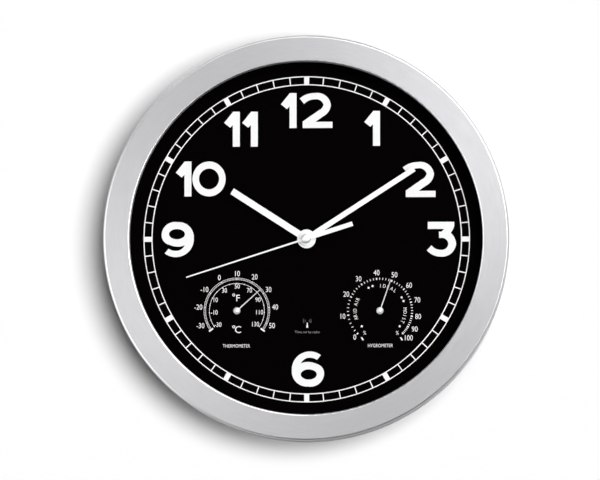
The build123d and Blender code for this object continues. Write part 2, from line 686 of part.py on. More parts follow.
def numeral(shares):
    """Face of one numeral from its outline shares."""
    steps = [[(x * numeral_height, y * numeral_height) for x, y in step] for step in shares]
    here = steps[0][0]
    edges = []
    for step in steps[1:]:
        edges.append(Line(here, step[0]) if len(step) == 1 else ThreePointArc(here, *step))
        here = step[-1]
    edges.append(Line(here, steps[0][0]))
    return make_face(edges)


def six_face():
    x, y, across, up = (share * numeral_height for share in SIX_COUNTER_SHARES)
    return numeral(SIX_SHARES) - Pos(x, y) * Ellipse(across, up)


def nine_face():
    x, y = (share * numeral_height for share in SIX_CENTRE_SHARES)
    return Pos(x, y) * Rot(0, 0, 180) * Pos(-x, -y) * six_face()


def zero_face():
    x, y, across, up, inner_across, inner_up = (share * numeral_height for share in ZERO_SHARES)
    return Pos(x, y) * (Ellipse(across, up) - Ellipse(inner_across, inner_up))


def hour_numerals():
    faces = {"one": numeral(ONE_SHARES), "two": numeral(TWO_SHARES), "three": numeral(THREE_SHARES),
             "six": six_face(), "nine": nine_face(), "zero": zero_face()}
    digits = []
    for name, x, y in NUMERAL_PLACE_SHARES:
        place = Pos(x * track_outer_radius, y * track_outer_radius)
        digits.append(slab(place * faces[name], dial_front, print_front))
    return group(digits)


def tick(inner, outer, width, clock_degrees):
    """Radial bar at a clockwise angle from the top."""
    return Rot(0, 0, -clock_degrees) * Pos(0, (inner + outer) / 2) * Rectangle(width, outer - inner)


def arc_band(inner, outer, first, last):
    """Band between two radii and two clockwise angles from the top."""
    start = 90 - last
    turn = last - first
    arcs = [CenterArc((0, 0), inner, start, turn), CenterArc((0, 0), outer, start, turn)]
    ends = [Line(arcs[0] @ 0, arcs[1] @ 0), Line(arcs[0] @ 1, arcs[1] @ 1)]
    return make_face(arcs + ends)


def minute_track():
    outline = Circle(track_outer_radius) - Circle(track_outer_radius - TRACK_LINE)
    outline += Circle(track_inner_radius + TRACK_LINE) - Circle(track_inner_radius)
    inner = track_inner_radius + TRACK_LINE / 2
    outer = track_outer_radius - TRACK_LINE / 2
    for minute in range(60):
        width = TRACK_MINUTE_WIDTH if minute % 5 else TRACK_HOUR_WIDTH
        outline += tick(inner, outer, width, minute * 6)
    return slab(outline, dial_front, print_front)


def thermometer_scale():
    first = (CELSIUS_FIRST - CELSIUS_AT_TOP) * CELSIUS_DEGREES
    last = (CELSIUS_LAST - CELSIUS_AT_TOP) * CELSIUS_DEGREES
    ladder = arc_band(SCALE_OUTER_RADIUS - LADDER_LINE, SCALE_OUTER_RADIUS, first, last)
    ladder += arc_band(scale_inner_radius, scale_inner_radius + LADDER_LINE, first, last)
    inner = scale_inner_radius + LADDER_LINE / 2
    outer = SCALE_OUTER_RADIUS - LADDER_LINE / 2
    for celsius in range(CELSIUS_FIRST + 1, CELSIUS_LAST):
        width = LADDER_TICK if celsius % 10 else LADDER_DECADE_TICK
        ladder += tick(inner, outer, width, (celsius - CELSIUS_AT_TOP) * CELSIUS_DEGREES)
    for end in (first, last):
        ladder += tick(scale_inner_radius - LADDER_CAP_OVERHANG, SCALE_OUTER_RADIUS + LADDER_CAP_OVERHANG,
                       LADDER_CAP_WIDTH, end)
    first = (FAHRENHEIT_FIRST - FAHRENHEIT_AT_TOP) * FAHRENHEIT_DEGREES
    last = (FAHRENHEIT_LAST - FAHRENHEIT_AT_TOP) * FAHRENHEIT_DEGREES
    half_line = FAHRENHEIT_LINE / 2
    arc = arc_band(fahrenheit_radius - half_line, fahrenheit_radius + half_line, first, last)
    for fahrenheit in range(FAHRENHEIT_FIRST, FAHRENHEIT_LAST + 1, 10):
        degrees = (fahrenheit - FAHRENHEIT_AT_TOP) * FAHRENHEIT_DEGREES
        arc += tick(fahrenheit_radius - FAHRENHEIT_MARK / 2, fahrenheit_radius + FAHRENHEIT_MARK / 2,
                    FAHRENHEIT_MARK, degrees)
    place = Pos(thermometer_x, instrument_y)
    return group([slab(place * ladder, dial_front, print_front), slab(place * arc, dial_front, print_front)])


def hygrometer_scale():
    place = Pos(hygrometer_x, instrument_y)
    ticks = [tick(scale_inner_radius, SCALE_OUTER_RADIUS, HUMIDITY_DECADE_TICK, degrees)
             for degrees in HUMIDITY_DECADE_ANGLES]
    for start, end in zip(HUMIDITY_DECADE_ANGLES, HUMIDITY_DECADE_ANGLES[1:]):
        for step in range(1, HUMIDITY_STEPS):
            degrees = start + (end - start) * step / HUMIDITY_STEPS
            ticks.append(tick(scale_inner_radius, SCALE_OUTER_RADIUS, HUMIDITY_TICK, degrees))
    return group(slab(place * mark, dial_front, print_front) for mark in ticks)


# Instruments
def bracket(x):
    outline = Polyline(
        (-bracket_end, plate_back), (-bracket_leg, plate_back), (-bracket_leg, bridge_front),
        (bracket_leg, bridge_front), (bracket_leg, plate_back), (bracket_end, plate_back),
        (bracket_end, plate_back - BRACKET_THICKNESS),
        (bracket_leg + BRACKET_THICKNESS, plate_back - BRACKET_THICKNESS),
        (bracket_leg + BRACKET_THICKNESS, bridge_back), (-bracket_leg - BRACKET_THICKNESS, bridge_back),
        (-bracket_leg - BRACKET_THICKNESS, plate_back - BRACKET_THICKNESS),
        (-bracket_end, plate_back - BRACKET_THICKNESS), close=True)
    strap = extrude(Plane.XZ * make_face(outline), BRACKET_WIDTH / 2, both=True)
    anchor = -coil_outer_radius
    strap += block(anchor - ANCHOR_THICKNESS, anchor, -ANCHOR_WIDTH / 2, ANCHOR_WIDTH / 2,
                   bridge_front, coil_front)
    strap -= disc(ARBOR_RADIUS + BEARING_CLEARANCE, bridge_back, bridge_front)
    for side in (-bracket_screw_x, bracket_screw_x):
        strap -= disc(BRACKET_SCREW_RADIUS + SCREW_HOLE_CLEARANCE, plate_back - BRACKET_THICKNESS, plate_back,
                      (side, 0))
    return Pos(x, instrument_y) * strap


def spiral_coil(x):
    """Flat strip coil of half circles about two centres half a pitch apart."""
    edges = []
    for number in range(COIL_HALF_TURNS):
        centre = (number % 2 * COIL_PITCH / 2, 0)
        radius = coil_inner_radius + number * COIL_PITCH / 2
        start = number % 2 * 180
        for side in (-COIL_STRIP / 2, COIL_STRIP / 2):
            edges.append(CenterArc(centre, radius + side, start, 180))
    edges.append(Line(edges[0] @ 0, edges[1] @ 0))
    edges.append(Line(edges[-3] @ 1, edges[-2] @ 1))
    return Pos(x, instrument_y) * slab(make_face(edges), coil_back, coil_front)


def coil_gap():
    """Least free space between two turns, measured on points along the strip's middle."""
    samples = 24
    points = []
    for number in range(COIL_HALF_TURNS):
        radius = coil_inner_radius + number * COIL_PITCH / 2
        arc = CenterArc((number % 2 * COIL_PITCH / 2, 0), radius, number % 2 * 180, 180)
        points += [arc @ (step / samples) for step in range(samples)]
    gaps = [(a - b).length for i, a in enumerate(points) for b in points[i + samples:]]
    return min(gaps) - COIL_STRIP


def arbor(x):
    rear = bridge_back - PIVOT_LENGTH
    collar_front = plate_front - END_SHAKE
    shaft = disc(ARBOR_RADIUS, rear, pointer_back + POINTER_HUB_RIM)
    shaft += disc(COLLET_RADIUS, bridge_front + END_SHAKE, coil_front + COLLET_OVERHANG)
    shaft += disc(ARBOR_COLLAR_RADIUS, collar_front - ARBOR_COLLAR_THICKNESS, collar_front)
    return Pos(x, instrument_y) * shaft


def pointer(x, clock_degrees):
    rim = pointer_back + POINTER_HUB_RIM
    hub = domed(POINTER_HUB_RADIUS, pointer_back, rim, rim + POINTER_HUB_DOME)
    needle = Polyline(
        (-POINTER_WIDTH / 2, 0), (POINTER_WIDTH / 2, 0), (POINTER_TIP_WIDTH / 2, pointer_length),
        (-POINTER_TIP_WIDTH / 2, pointer_length), close=True)
    hub += slab(make_face(needle), pointer_back, pointer_back + POINTER_THICKNESS)
    hub -= disc(ARBOR_RADIUS + PRESS_CLEARANCE, pointer_back, rim)
    return Pos(x, instrument_y) * Rot(0, 0, -clock_degrees) * hub


def bracket_screws():
    one = screw(BRACKET_SCREW_HEAD_RADIUS, BRACKET_SCREW_HEAD_HEIGHT, BRACKET_SCREW_RADIUS,
                BRACKET_SCREW_LENGTH)
    seat = plate_back - BRACKET_THICKNESS
    places = [(x + side, instrument_y, seat) for x in (thermometer_x, hygrometer_x)
              for side in (-bracket_screw_x, bracket_screw_x)]
    return group(Pos(*place) * one for place in places)


# Hands
def hand(clock_degrees, length, width, tip_width, hub_radius, bore, pipe_front, tail=(0, 0)):
    """Flat hand on a collar. The tail is a width and a length behind the axis."""
    front = pipe_front - HAND_PROUD
    back = front - HAND_THICKNESS
    tail_width, tail_length = tail
    outline = Circle(hub_radius)
    outline += make_face(Polyline((-width / 2, 0), (width / 2, 0), (tip_width / 2, length),
                                  (-tip_width / 2, length), close=True))
    if tail_length:
        outline += Pos(0, -tail_length / 2) * Rectangle(tail_width, tail_length)
    blade = slab(outline, back, front)
    blade += disc(bore + HAND_COLLAR_WALL, back - HAND_COLLAR_DEPTH, back)
    blade -= disc(bore, back - HAND_COLLAR_DEPTH, front)
    return Rot(0, 0, -clock_degrees) * blade


def second_hand_cap():
    cap = domed(CAP_RADIUS, cap_back, cap_back + CAP_RIM, cap_front)
    return cap - disc(SECOND_SHAFT_RADIUS + PRESS_CLEARANCE, cap_back, cap_back + CAP_BORE_DEPTH)


# Movement housing
def movement_outline():
    height = movement_top - movement_bottom
    middle = (movement_top + movement_bottom) / 2
    return Pos(0, middle) * RectangleRounded(2 * movement_side, height, MOVEMENT_CORNER)


def movement_base():
    base = slab(movement_outline(), cover_front, base_front)
    base = chamfer(base.edges().group_by(Axis.Z)[-1], MOVEMENT_EDGE)
    base -= block(-chamber_side, chamber_side, chamber_bottom, chamber_top, cover_front, chamber_front)
    base -= block(-chamber_side, chamber_side, bay_bottom, bay_top, cover_front, chamber_front)
    notch = FINGER_NOTCH_WIDTH / 2
    base -= block(-notch, notch, movement_bottom, bay_bottom, cover_front, cover_front + FINGER_NOTCH_DEPTH)
    hole_end = cover_front + MOVEMENT_SCREW_LENGTH + SCREW_END_SPACE
    for places, post_back in ((lower_posts, train_plate_front), (upper_posts, board_front)):
        for place in places:
            base += disc(POST_RADIUS, post_back, chamber_front, place)
            base -= disc(MOVEMENT_SCREW_RADIUS + SCREW_CORE_CLEARANCE, post_back, hole_end, place)
    for side in (-1, 1):
        wall = side * chamber_side
        inner = wall - side * PILASTER_DEPTH
        base += block(min(wall, inner), max(wall, inner), -PILASTER_WIDTH / 2, PILASTER_WIDTH / 2,
                      train_plate_front, chamber_front)
        cradle = side * CRADLE_X
        base += block(cradle - CRADLE_WIDTH / 2, cradle + CRADLE_WIDTH / 2, rod_y - rod_radius - CRADLE_WALL,
                      rod_y + rod_radius + CRADLE_WALL, rod_z, chamber_front)
    base -= Pos(0, rod_y, rod_z) * Rot(0, 90, 0) * Cylinder(rod_radius + PRESS_CLEARANCE, rod_length)
    base += disc(TRANSFER_POST_RADIUS, cannon_layer[0] - WHEEL_SPACE / 2, chamber_front, transfer_axis)
    base -= disc(BUSHING_RADIUS + PRESS_CLEARANCE, chamber_front, base_front)
    bearing_end = chamber_front + PIVOT_LENGTH + END_SHAKE
    for axis in pivoted_axes:
        base -= disc(PIVOT_RADIUS + BEARING_CLEARANCE, chamber_front, bearing_end, axis)
    return base


def movement_cover():
    bay_height = bay_top - movement_bottom
    bay = Pos(0, bay_top - bay_height / 2) * Rectangle(2 * movement_side, bay_height)
    cover = slab(movement_outline() - bay, MOVEMENT_BACK, cover_front)
    cover = chamfer(cover.edges().group_by(Axis.Z)[0], MOVEMENT_EDGE)
    side = chamber_side - COVER_FIT
    bottom = chamber_bottom + COVER_FIT
    top = chamber_top - COVER_FIT
    skirt_front = cover_front + COVER_SKIRT_HEIGHT
    skirt = block(-side, side, bottom, top, cover_front, skirt_front)
    skirt -= block(COVER_SKIRT - side, side - COVER_SKIRT, bottom + COVER_SKIRT, top - COVER_SKIRT,
                   cover_front, skirt_front)
    cover += skirt
    for place in lower_posts + upper_posts:
        cover -= disc(MOVEMENT_SCREW_HEAD_RADIUS + SCREW_HOLE_CLEARANCE, MOVEMENT_BACK,
                      MOVEMENT_BACK + HEAD_POCKET_DEPTH, place)
        cover -= disc(MOVEMENT_SCREW_RADIUS + SCREW_HOLE_CLEARANCE, MOVEMENT_BACK, skirt_front, place)
    for x in button_places:
        cover -= disc(BUTTON_RADIUS + BUTTON_CLEARANCE, MOVEMENT_BACK, cover_front, (x, board_y))
    return cover


def movement_screws():
    one = screw(MOVEMENT_SCREW_HEAD_RADIUS, MOVEMENT_SCREW_HEAD_HEIGHT, MOVEMENT_SCREW_RADIUS,
                MOVEMENT_SCREW_LENGTH)
    return group(Pos(x, y, MOVEMENT_BACK + HEAD_POCKET_DEPTH) * one for x, y in lower_posts + upper_posts)


def train_plate():
    side = chamber_side - COVER_FIT
    bottom = chamber_bottom + COVER_FIT
    plate = block(-side, side, bottom, train_plate_top, train_plate_back, train_plate_front)
    for axis in pivoted_axes + (hand_axis,):
        plate -= disc(PIVOT_RADIUS + BEARING_CLEARANCE, train_plate_back, train_plate_front, axis)
    screw_hole = MOVEMENT_SCREW_RADIUS + SCREW_HOLE_CLEARANCE
    for place in lower_posts:
        plate -= disc(screw_hole, train_plate_back, train_plate_front, place)
    return plate


def threaded_bushing():
    bushing = tube(BUSHING_RADIUS, bushing_bore, chamber_front, bushing_front)
    return bushing + tube(BUSHING_SHOULDER_RADIUS, bushing_bore, base_front, plate_back)


def bushing_nut():
    outline = RegularPolygon(NUT_ACROSS_FLATS / 2, 6, major_radius=False)
    outline -= Circle(BUSHING_RADIUS + PRESS_CLEARANCE)
    return slab(outline, nut_back, nut_front)


def dial_washer():
    return tube(DIAL_WASHER_RADIUS, BUSHING_RADIUS + BUSHING_HOLE_CLEARANCE, dial_front, nut_back)


def rubber_washer():
    inside = BUSHING_SHOULDER_RADIUS + BUSHING_HOLE_CLEARANCE
    return tube(RUBBER_WASHER_RADIUS, inside, base_front, plate_back)


# Wheels
def gear_face(teeth, module, pinion, phase):
    """Toothed outline about the origin with a tooth centred on the phase angle."""
    pitch_radius = teeth * module / 2
    addendum = module * (PINION_ADDENDUM_SHARE if pinion else WHEEL_ADDENDUM_SHARE)
    dedendum = module * (PINION_DEDENDUM_SHARE if pinion else WHEEL_DEDENDUM_SHARE)
    pressure = math.radians(PRESSURE_ANGLE)
    base_radius = pitch_radius * math.cos(pressure)
    root = pitch_radius - dedendum
    start = max(base_radius, root)
    rise = pitch_radius + addendum - start
    radii = [start + rise * step / FLANK_STEPS for step in range(FLANK_STEPS + 1)]
    if root < start:
        radii.insert(0, root)
    half_tooth = math.pi / teeth / 2 - TOOTH_THINNING / pitch_radius / 2
    flank = []
    for radius in radii:
        roll = math.acos(base_radius / max(radius, base_radius))
        spread = math.tan(pressure) - pressure - math.tan(roll) + roll
        flank.append((radius, math.degrees(half_tooth + spread)))
    points = []
    for number in range(teeth):
        middle = phase + number * 360 / teeth
        points += [polar((0, 0), radius, middle - half) for radius, half in flank]
        points += [polar((0, 0), radius, middle + half) for radius, half in reversed(flank)]
    return make_face(Polyline(*points, close=True))


def gear(teeth, module, pinion, phase, depths, axis):
    """One toothed slab on its axis."""
    return Pos(*axis) * slab(gear_face(teeth, module, pinion, phase), *depths)


def mesh_phase(direction, phase, teeth, mate_teeth):
    """Phase of the mate that puts its gap on a tooth of the first wheel."""
    part = (direction - phase) * teeth / 360 % 1
    return direction + 180 - (0.5 - part) * 360 / mate_teeth


def pivoted_arbor(axis):
    """Arbor between the train plate and the front wall, with a pivot at each end."""
    back = train_plate_front + END_SHAKE
    front = chamber_front - END_SHAKE
    shaft = disc(TRAIN_ARBOR_RADIUS, back, front, axis)
    return shaft + disc(PIVOT_RADIUS, back - PIVOT_LENGTH, front + PIVOT_LENGTH, axis)


def stacked_wheel(axis, wheel, pinion):
    """Arbor with a wheel and a pinion. Each is a tooth count, module, phase and layer."""
    solid = pivoted_arbor(axis)
    teeth, module, phase, depths = wheel
    solid += gear(teeth, module, False, phase, depths, axis)
    teeth, module, phase, depths = pinion
    return solid + gear(teeth, module, True, phase, depths, axis)


def rotor(axis, module, phase):
    solid = pivoted_arbor(axis)
    solid += disc(MAGNET_RADIUS, magnet_back, magnet_front, axis)
    return solid + gear(ROTOR_TEETH, module, True, phase, first_layer, axis)


def seconds_wheel():
    back = train_plate_front + END_SHAKE
    solid = disc(SECOND_SHAFT_RADIUS, back, second_shaft_front)
    solid += disc(PIVOT_RADIUS, back - PIVOT_LENGTH, back)
    return solid + gear(SECONDS_WHEEL_TEETH, SECONDS_MODULE, False, 0, seconds_layer, hand_axis)


def minute_wheel():
    solid = disc(minute_pipe_radius, minute_layer[0], minute_pipe_front)
    solid += gear(MINUTE_TEETH, THIRD_MODULE, False, 0, minute_layer, hand_axis)
    solid += gear(CANNON_TEETH, CANNON_MODULE, True, 0, cannon_layer, hand_axis)
    return solid - disc(minute_pipe_bore, minute_layer[0], minute_pipe_front)


def transfer_wheel():
    phase = mesh_phase(TRANSFER_DIRECTION, 0, CANNON_TEETH, TRANSFER_TEETH)
    solid = gear(TRANSFER_TEETH, CANNON_MODULE, False, phase, cannon_layer, transfer_axis)
    solid += gear(PINION_TEETH, hour_module, True, 0, (cannon_layer[1], hour_layer[1]), transfer_axis)
    bore = TRANSFER_POST_RADIUS + BEARING_CLEARANCE
    return solid - disc(bore, cannon_layer[0], hour_layer[1], transfer_axis)


def hour_wheel():
    phase = mesh_phase(TRANSFER_DIRECTION + 180, 0, PINION_TEETH, HOUR_TEETH)
    solid = disc(hour_pipe_radius, hour_layer[0], hour_pipe_front)
    solid += gear(HOUR_TEETH, hour_module, False, phase, hour_layer, hand_axis)
    return solid - disc(hour_pipe_bore, hour_layer[0], hour_pipe_front)


def third_wheel():
    phase = mesh_phase(THIRD_DIRECTION, 0, MINUTE_TEETH, PINION_TEETH)
    return stacked_wheel(third_axis, (THIRD_TEETH, MINUTES_MODULE, 0, third_layer),
                         (PINION_TEETH, THIRD_MODULE, phase, minute_layer))


def minutes_intermediate_wheel():
    phase = mesh_phase(MINUTES_INTERMEDIATE_DIRECTION, 0, THIRD_TEETH, PINION_TEETH)
    return stacked_wheel(
        minutes_intermediate_axis, (MINUTES_INTERMEDIATE_TEETH, MINUTES_MODULE, 0, first_layer),
        (PINION_TEETH, MINUTES_MODULE, phase, third_layer))


def seconds_intermediate_wheel():
    phase = mesh_phase(SECONDS_INTERMEDIATE_DIRECTION, 0, SECONDS_WHEEL_TEETH, PINION_TEETH)
    return stacked_wheel(
        seconds_intermediate_axis, (SECONDS_INTERMEDIATE_TEETH, SECONDS_MODULE, 0, first_layer),
        (PINION_TEETH, SECONDS_MODULE, phase, seconds_layer))


def minutes_rotor():
    phase = mesh_phase(MINUTES_ROTOR_DIRECTION, 0, MINUTES_INTERMEDIATE_TEETH, ROTOR_TEETH)
    return rotor(minutes_rotor_axis, MINUTES_MODULE, phase)


def seconds_rotor():
    phase = mesh_phase(SECONDS_ROTOR_DIRECTION, 0, SECONDS_INTERMEDIATE_TEETH, ROTOR_TEETH)
    return rotor(seconds_rotor_axis, SECONDS_MODULE, phase)


# Motors, receiver and circuit
def stator(axis):
    """Flat iron loop round a rotor, closed through the winding."""
    x, y = axis
    half = STATOR_ARM_OFFSET + STATOR_ARM_WIDTH / 2
    outline = Pos(x, y) * Rectangle(2 * half, STATOR_HEIGHT)
    top = winding_y + CORE_WIDTH / 2
    for side in (-STATOR_ARM_OFFSET, STATOR_ARM_OFFSET):
        outline += Pos(x + side, (y + top) / 2) * Rectangle(STATOR_ARM_WIDTH, top - y)
    outline += Pos(x, winding_y) * Rectangle(2 * half, CORE_WIDTH)
    outline -= Pos(x, y) * Circle(MAGNET_RADIUS + AIR_GAP)
    return slab(outline, train_plate_front, train_plate_front + STATOR_THICKNESS)


def motor_coil(axis):
    """Bobbin and winding round the stator's core."""
    length = 2 * STATOR_ARM_OFFSET - STATOR_ARM_WIDTH - 2 * BOBBIN_SPACE
    coil = Cylinder(WINDING_RADIUS, length)
    for side in (-1, 1):
        coil += Pos(0, 0, side * (length - BOBBIN_FLANGE) / 2) * Cylinder(BOBBIN_RADIUS, BOBBIN_FLANGE)
    core_z = train_plate_front + STATOR_THICKNESS / 2
    coil = Pos(axis[0], winding_y, core_z) * Rot(0, 90, 0) * coil
    side = CORE_WIDTH / 2 + PRESS_CLEARANCE
    deep = STATOR_THICKNESS / 2 + PRESS_CLEARANCE
    return coil - block(axis[0] - length, axis[0] + length, winding_y - side, winding_y + side,
                        core_z - deep, core_z + deep)


def antenna_rod():
    return Pos(0, rod_y, rod_z) * Rot(0, 90, 0) * Cylinder(rod_radius, rod_length)


def antenna_coil():
    coil = Cylinder(rod_winding_radius, ROD_WINDING_LENGTH)
    coil -= Cylinder(rod_radius + PRESS_CLEARANCE, ROD_WINDING_LENGTH)
    return Pos(0, rod_y, rod_z) * Rot(0, 90, 0) * coil


def circuit_board():
    side = chamber_side - BOARD_GAP
    board = block(-side, side, board_bottom, board_top, board_back, board_front)
    for place in upper_posts:
        board -= disc(MOVEMENT_SCREW_RADIUS + SCREW_HOLE_CLEARANCE, board_back, board_front, place)
    return board


def controller_chip():
    return block(CHIP_X - CHIP_LENGTH / 2, CHIP_X + CHIP_LENGTH / 2, board_y - CHIP_WIDTH / 2,
                 board_y + CHIP_WIDTH / 2, board_front, board_front + CHIP_HEIGHT)


def quartz_crystal():
    can = Rot(0, 90, 0) * Cylinder(CRYSTAL_RADIUS, CRYSTAL_LENGTH)
    return Pos(CRYSTAL_X, board_y, board_front + CRYSTAL_RADIUS) * can


def tact_switches():
    back = board_back - SWITCH_HEIGHT
    half = SWITCH_SIZE / 2
    switches = []
    for x in button_places:
        switch = block(x - half, x + half, board_y - half, board_y + half, back, board_back)
        switches.append(switch + disc(SWITCH_DOME_RADIUS, back - SWITCH_DOME_HEIGHT, back, (x, board_y)))
    return group(switches)


def button(x):
    """Push button held by its flange behind the cover."""
    back = MOVEMENT_BACK - BUTTON_PROUD
    stem = disc(BUTTON_RADIUS, back, cover_front)
    stem = fillet(stem.edges().group_by(Axis.Z)[0], BUTTON_ROUND)
    stem += disc(BUTTON_FLANGE_RADIUS, cover_front, cover_front + BUTTON_FLANGE)
    return Pos(x, board_y) * stem


# Battery and contacts
def battery():
    body = Cylinder(BATTERY_RADIUS, BATTERY_BODY_LENGTH)
    body = fillet(body.edges().filter_by(GeomType.CIRCLE), BATTERY_EDGE)
    nub = Cylinder(BATTERY_NUB_RADIUS, BATTERY_NUB_LENGTH)
    body += Pos(0, 0, (BATTERY_BODY_LENGTH + BATTERY_NUB_LENGTH) / 2) * nub
    middle = (battery_plus_end + battery_minus_end) / 2
    return Pos(middle, battery_y, battery_z) * Rot(0, 90, 0) * body


def positive_contact():
    return block(battery_nub_end, chamber_side, battery_y - CONTACT_WIDTH / 2, battery_y + CONTACT_WIDTH / 2,
                 battery_z - CONTACT_DEPTH / 2, battery_z + CONTACT_DEPTH / 2)


def negative_contact():
    """Leaf folded so that its flat crown meets the cell."""
    wall = -chamber_side
    foot = CONTACT_WIDTH / 2
    tip = LEAF_TIP_WIDTH / 2
    outline = make_face(Polyline(
        (wall, battery_y - foot), (battery_minus_end, battery_y - tip),
        (battery_minus_end, battery_y + tip), (wall, battery_y + foot), close=True))
    outline -= offset(outline, -LEAF_THICKNESS, kind=Kind.INTERSECTION)
    return slab(outline, battery_z - CONTACT_DEPTH / 2, battery_z + CONTACT_DEPTH / 2)


pieces = {
    "bezel_ring": bezel_ring(),
    "front_glass": front_glass(),
    "dial_spacer_ring": dial_spacer_ring(),
    "dial_plate": dial_plate(),
    "hour_numerals": hour_numerals(),
    "minute_track": minute_track(),
    "thermometer_scale": thermometer_scale(),
    "hygrometer_scale": hygrometer_scale(),
    "back_case": back_case(),
    "case_screws": case_screws(),
    "hanger_plate": hanger_plate(),
    "hanger_screws": hanger_screws(),
    "hour_hand": hand(HOUR_ANGLE, hour_length, HOUR_WIDTH, HOUR_WIDTH, HOUR_HUB_RADIUS,
                      hour_pipe_radius + PRESS_CLEARANCE, hour_pipe_front),
    "minute_hand": hand(MINUTE_ANGLE, minute_length, MINUTE_WIDTH, MINUTE_WIDTH, MINUTE_HUB_RADIUS,
                        minute_pipe_radius + PRESS_CLEARANCE, minute_pipe_front),
    "second_hand": hand(SECOND_ANGLE, second_length, SECOND_WIDTH, SECOND_TIP_WIDTH, CAP_RADIUS,
                        SECOND_SHAFT_RADIUS + PRESS_CLEARANCE, second_shaft_front,
                        (SECOND_TAIL_WIDTH, second_tail_length)),
    "second_hand_cap": second_hand_cap(),
    "movement_base": movement_base(),
    "movement_cover": movement_cover(),
    "movement_screws": movement_screws(),
    "train_plate": train_plate(),
    "threaded_bushing": threaded_bushing(),
    "bushing_nut": bushing_nut(),
    "dial_washer": dial_washer(),
    "rubber_washer": rubber_washer(),
    "seconds_rotor": seconds_rotor(),
    "seconds_stator": stator(seconds_rotor_axis),
    "seconds_coil": motor_coil(seconds_rotor_axis),
    "seconds_intermediate_wheel": seconds_intermediate_wheel(),
    "seconds_wheel": seconds_wheel(),
    "minutes_rotor": minutes_rotor(),
    "minutes_stator": stator(minutes_rotor_axis),
    "minutes_coil": motor_coil(minutes_rotor_axis),
    "minutes_intermediate_wheel": minutes_intermediate_wheel(),
    "third_wheel": third_wheel(),
    "minute_wheel": minute_wheel(),
    "transfer_wheel": transfer_wheel(),
    "hour_wheel": hour_wheel(),
    "circuit_board": circuit_board(),
    "controller_chip": controller_chip(),
    "quartz_crystal": quartz_crystal(),
    "tact_switches": tact_switches(),
    "antenna_rod": antenna_rod(),
    "antenna_coil": antenna_coil(),
    "battery": battery(),
    "positive_contact": positive_contact(),
    "negative_contact": negative_contact(),
    "set_button": button(SET_BUTTON_X),
    "reset_button": button(RESET_BUTTON_X),
    "wave_button": button(WAVE_BUTTON_X),
    "thermometer_bracket": bracket(thermometer_x),
    "thermometer_coil": spiral_coil(thermometer_x),
    "thermometer_arbor": arbor(thermometer_x),
    "thermometer_pointer": pointer(thermometer_x, THERMOMETER_ANGLE),
    "hygrometer_bracket": bracket(hygrometer_x),
    "hygrometer_coil": spiral_coil(hygrometer_x),
    "hygrometer_arbor": arbor(hygrometer_x),
    "hygrometer_pointer": pointer(hygrometer_x, HYGROMETER_ANGLE),
    "bracket_screws": bracket_screws(),
}

# Stand the clock up: the dial faces -Y, the wall plane is Y = 0 and +Z is up.
os.makedirs("parts", exist_ok=True)
for name, piece in pieces.items():
    export_step(Rot(90, 0, 0) * piece, f"parts/{name}.step")

print("least gap between coil turns, mm:", round(coil_gap(), 3))
print("overall depth, mm:", round(bezel_front, 3))
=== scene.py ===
import json
import math

import bpy
from mathutils import Matrix, Vector


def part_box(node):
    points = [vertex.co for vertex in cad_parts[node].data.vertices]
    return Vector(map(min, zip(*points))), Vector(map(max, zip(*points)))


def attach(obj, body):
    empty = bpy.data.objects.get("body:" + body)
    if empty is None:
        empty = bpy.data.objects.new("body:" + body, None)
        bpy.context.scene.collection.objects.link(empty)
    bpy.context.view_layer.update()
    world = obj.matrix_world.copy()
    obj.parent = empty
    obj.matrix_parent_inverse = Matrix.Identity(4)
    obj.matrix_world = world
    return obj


# Looks of the wall clock: materials on its pieces, the small dial print, the wall and the light.
# Lengths in capitals are in millimetres, with X to the right and Z up on the dial.
# Angles in capitals are in degrees; on the dial they run clockwise from its top.

MM = 0.001

# Ring: radii of its polished bands, radius and depth of the middles of its roundings
RING_EDGES = ((132.4, 133.6), (150.8, 152.4))
LIP_CENTRE = (134.0, 44.0)
EDGE_CENTRE = (149.9, 42.3)

# Pointers of the two instruments
HUB_RADIUS = 2.75
HUB_METAL = 0.35

# Lettering and marks, each place measured from the middle of its own sub-dial
PRINT_DEPTH = 0.08
NARROW_SHARE = 0.82
INSTRUMENT_NAME_HEIGHT = 2.5

CELSIUS_HEIGHT = 4.0
CELSIUS_LABELS = (
    ("-30", -27.4, -11.1), ("-20", -29.0, 2.9), ("-10", -24.4, 16.2), ("0", -13.2, 25.1), ("10", 0.5, 28.1),
    ("20", 13.4, 25.6), ("30", 23.9, 16.1), ("40", 28.8, 2.9), ("50", 26.5, -11.1),
)
FAHRENHEIT_HEIGHT = 3.5
FAHRENHEIT_LABELS = (
    ("-30", -14.2, -10.3), ("-10", -17.0, -1.1), ("10", -15.9, 8.4), ("30", -9.3, 15.5), ("50", 0.3, 18.6),
    ("70", 9.5, 15.5), ("90", 15.9, 8.4), ("110", 17.2, -1.0), ("130", 14.1, -10.0),
)
UNIT_LETTERS = (("F", 4.8, (0.9, 9.7), (-2.3, 12.0)), ("C", 5.2, (0.9, -14.1), (-2.3, -12.0)))
DEGREE_RADIUS = 0.85
DEGREE_LINE = 0.5
THERMOMETER_NAME_PLACE = (-0.3, -26.4)

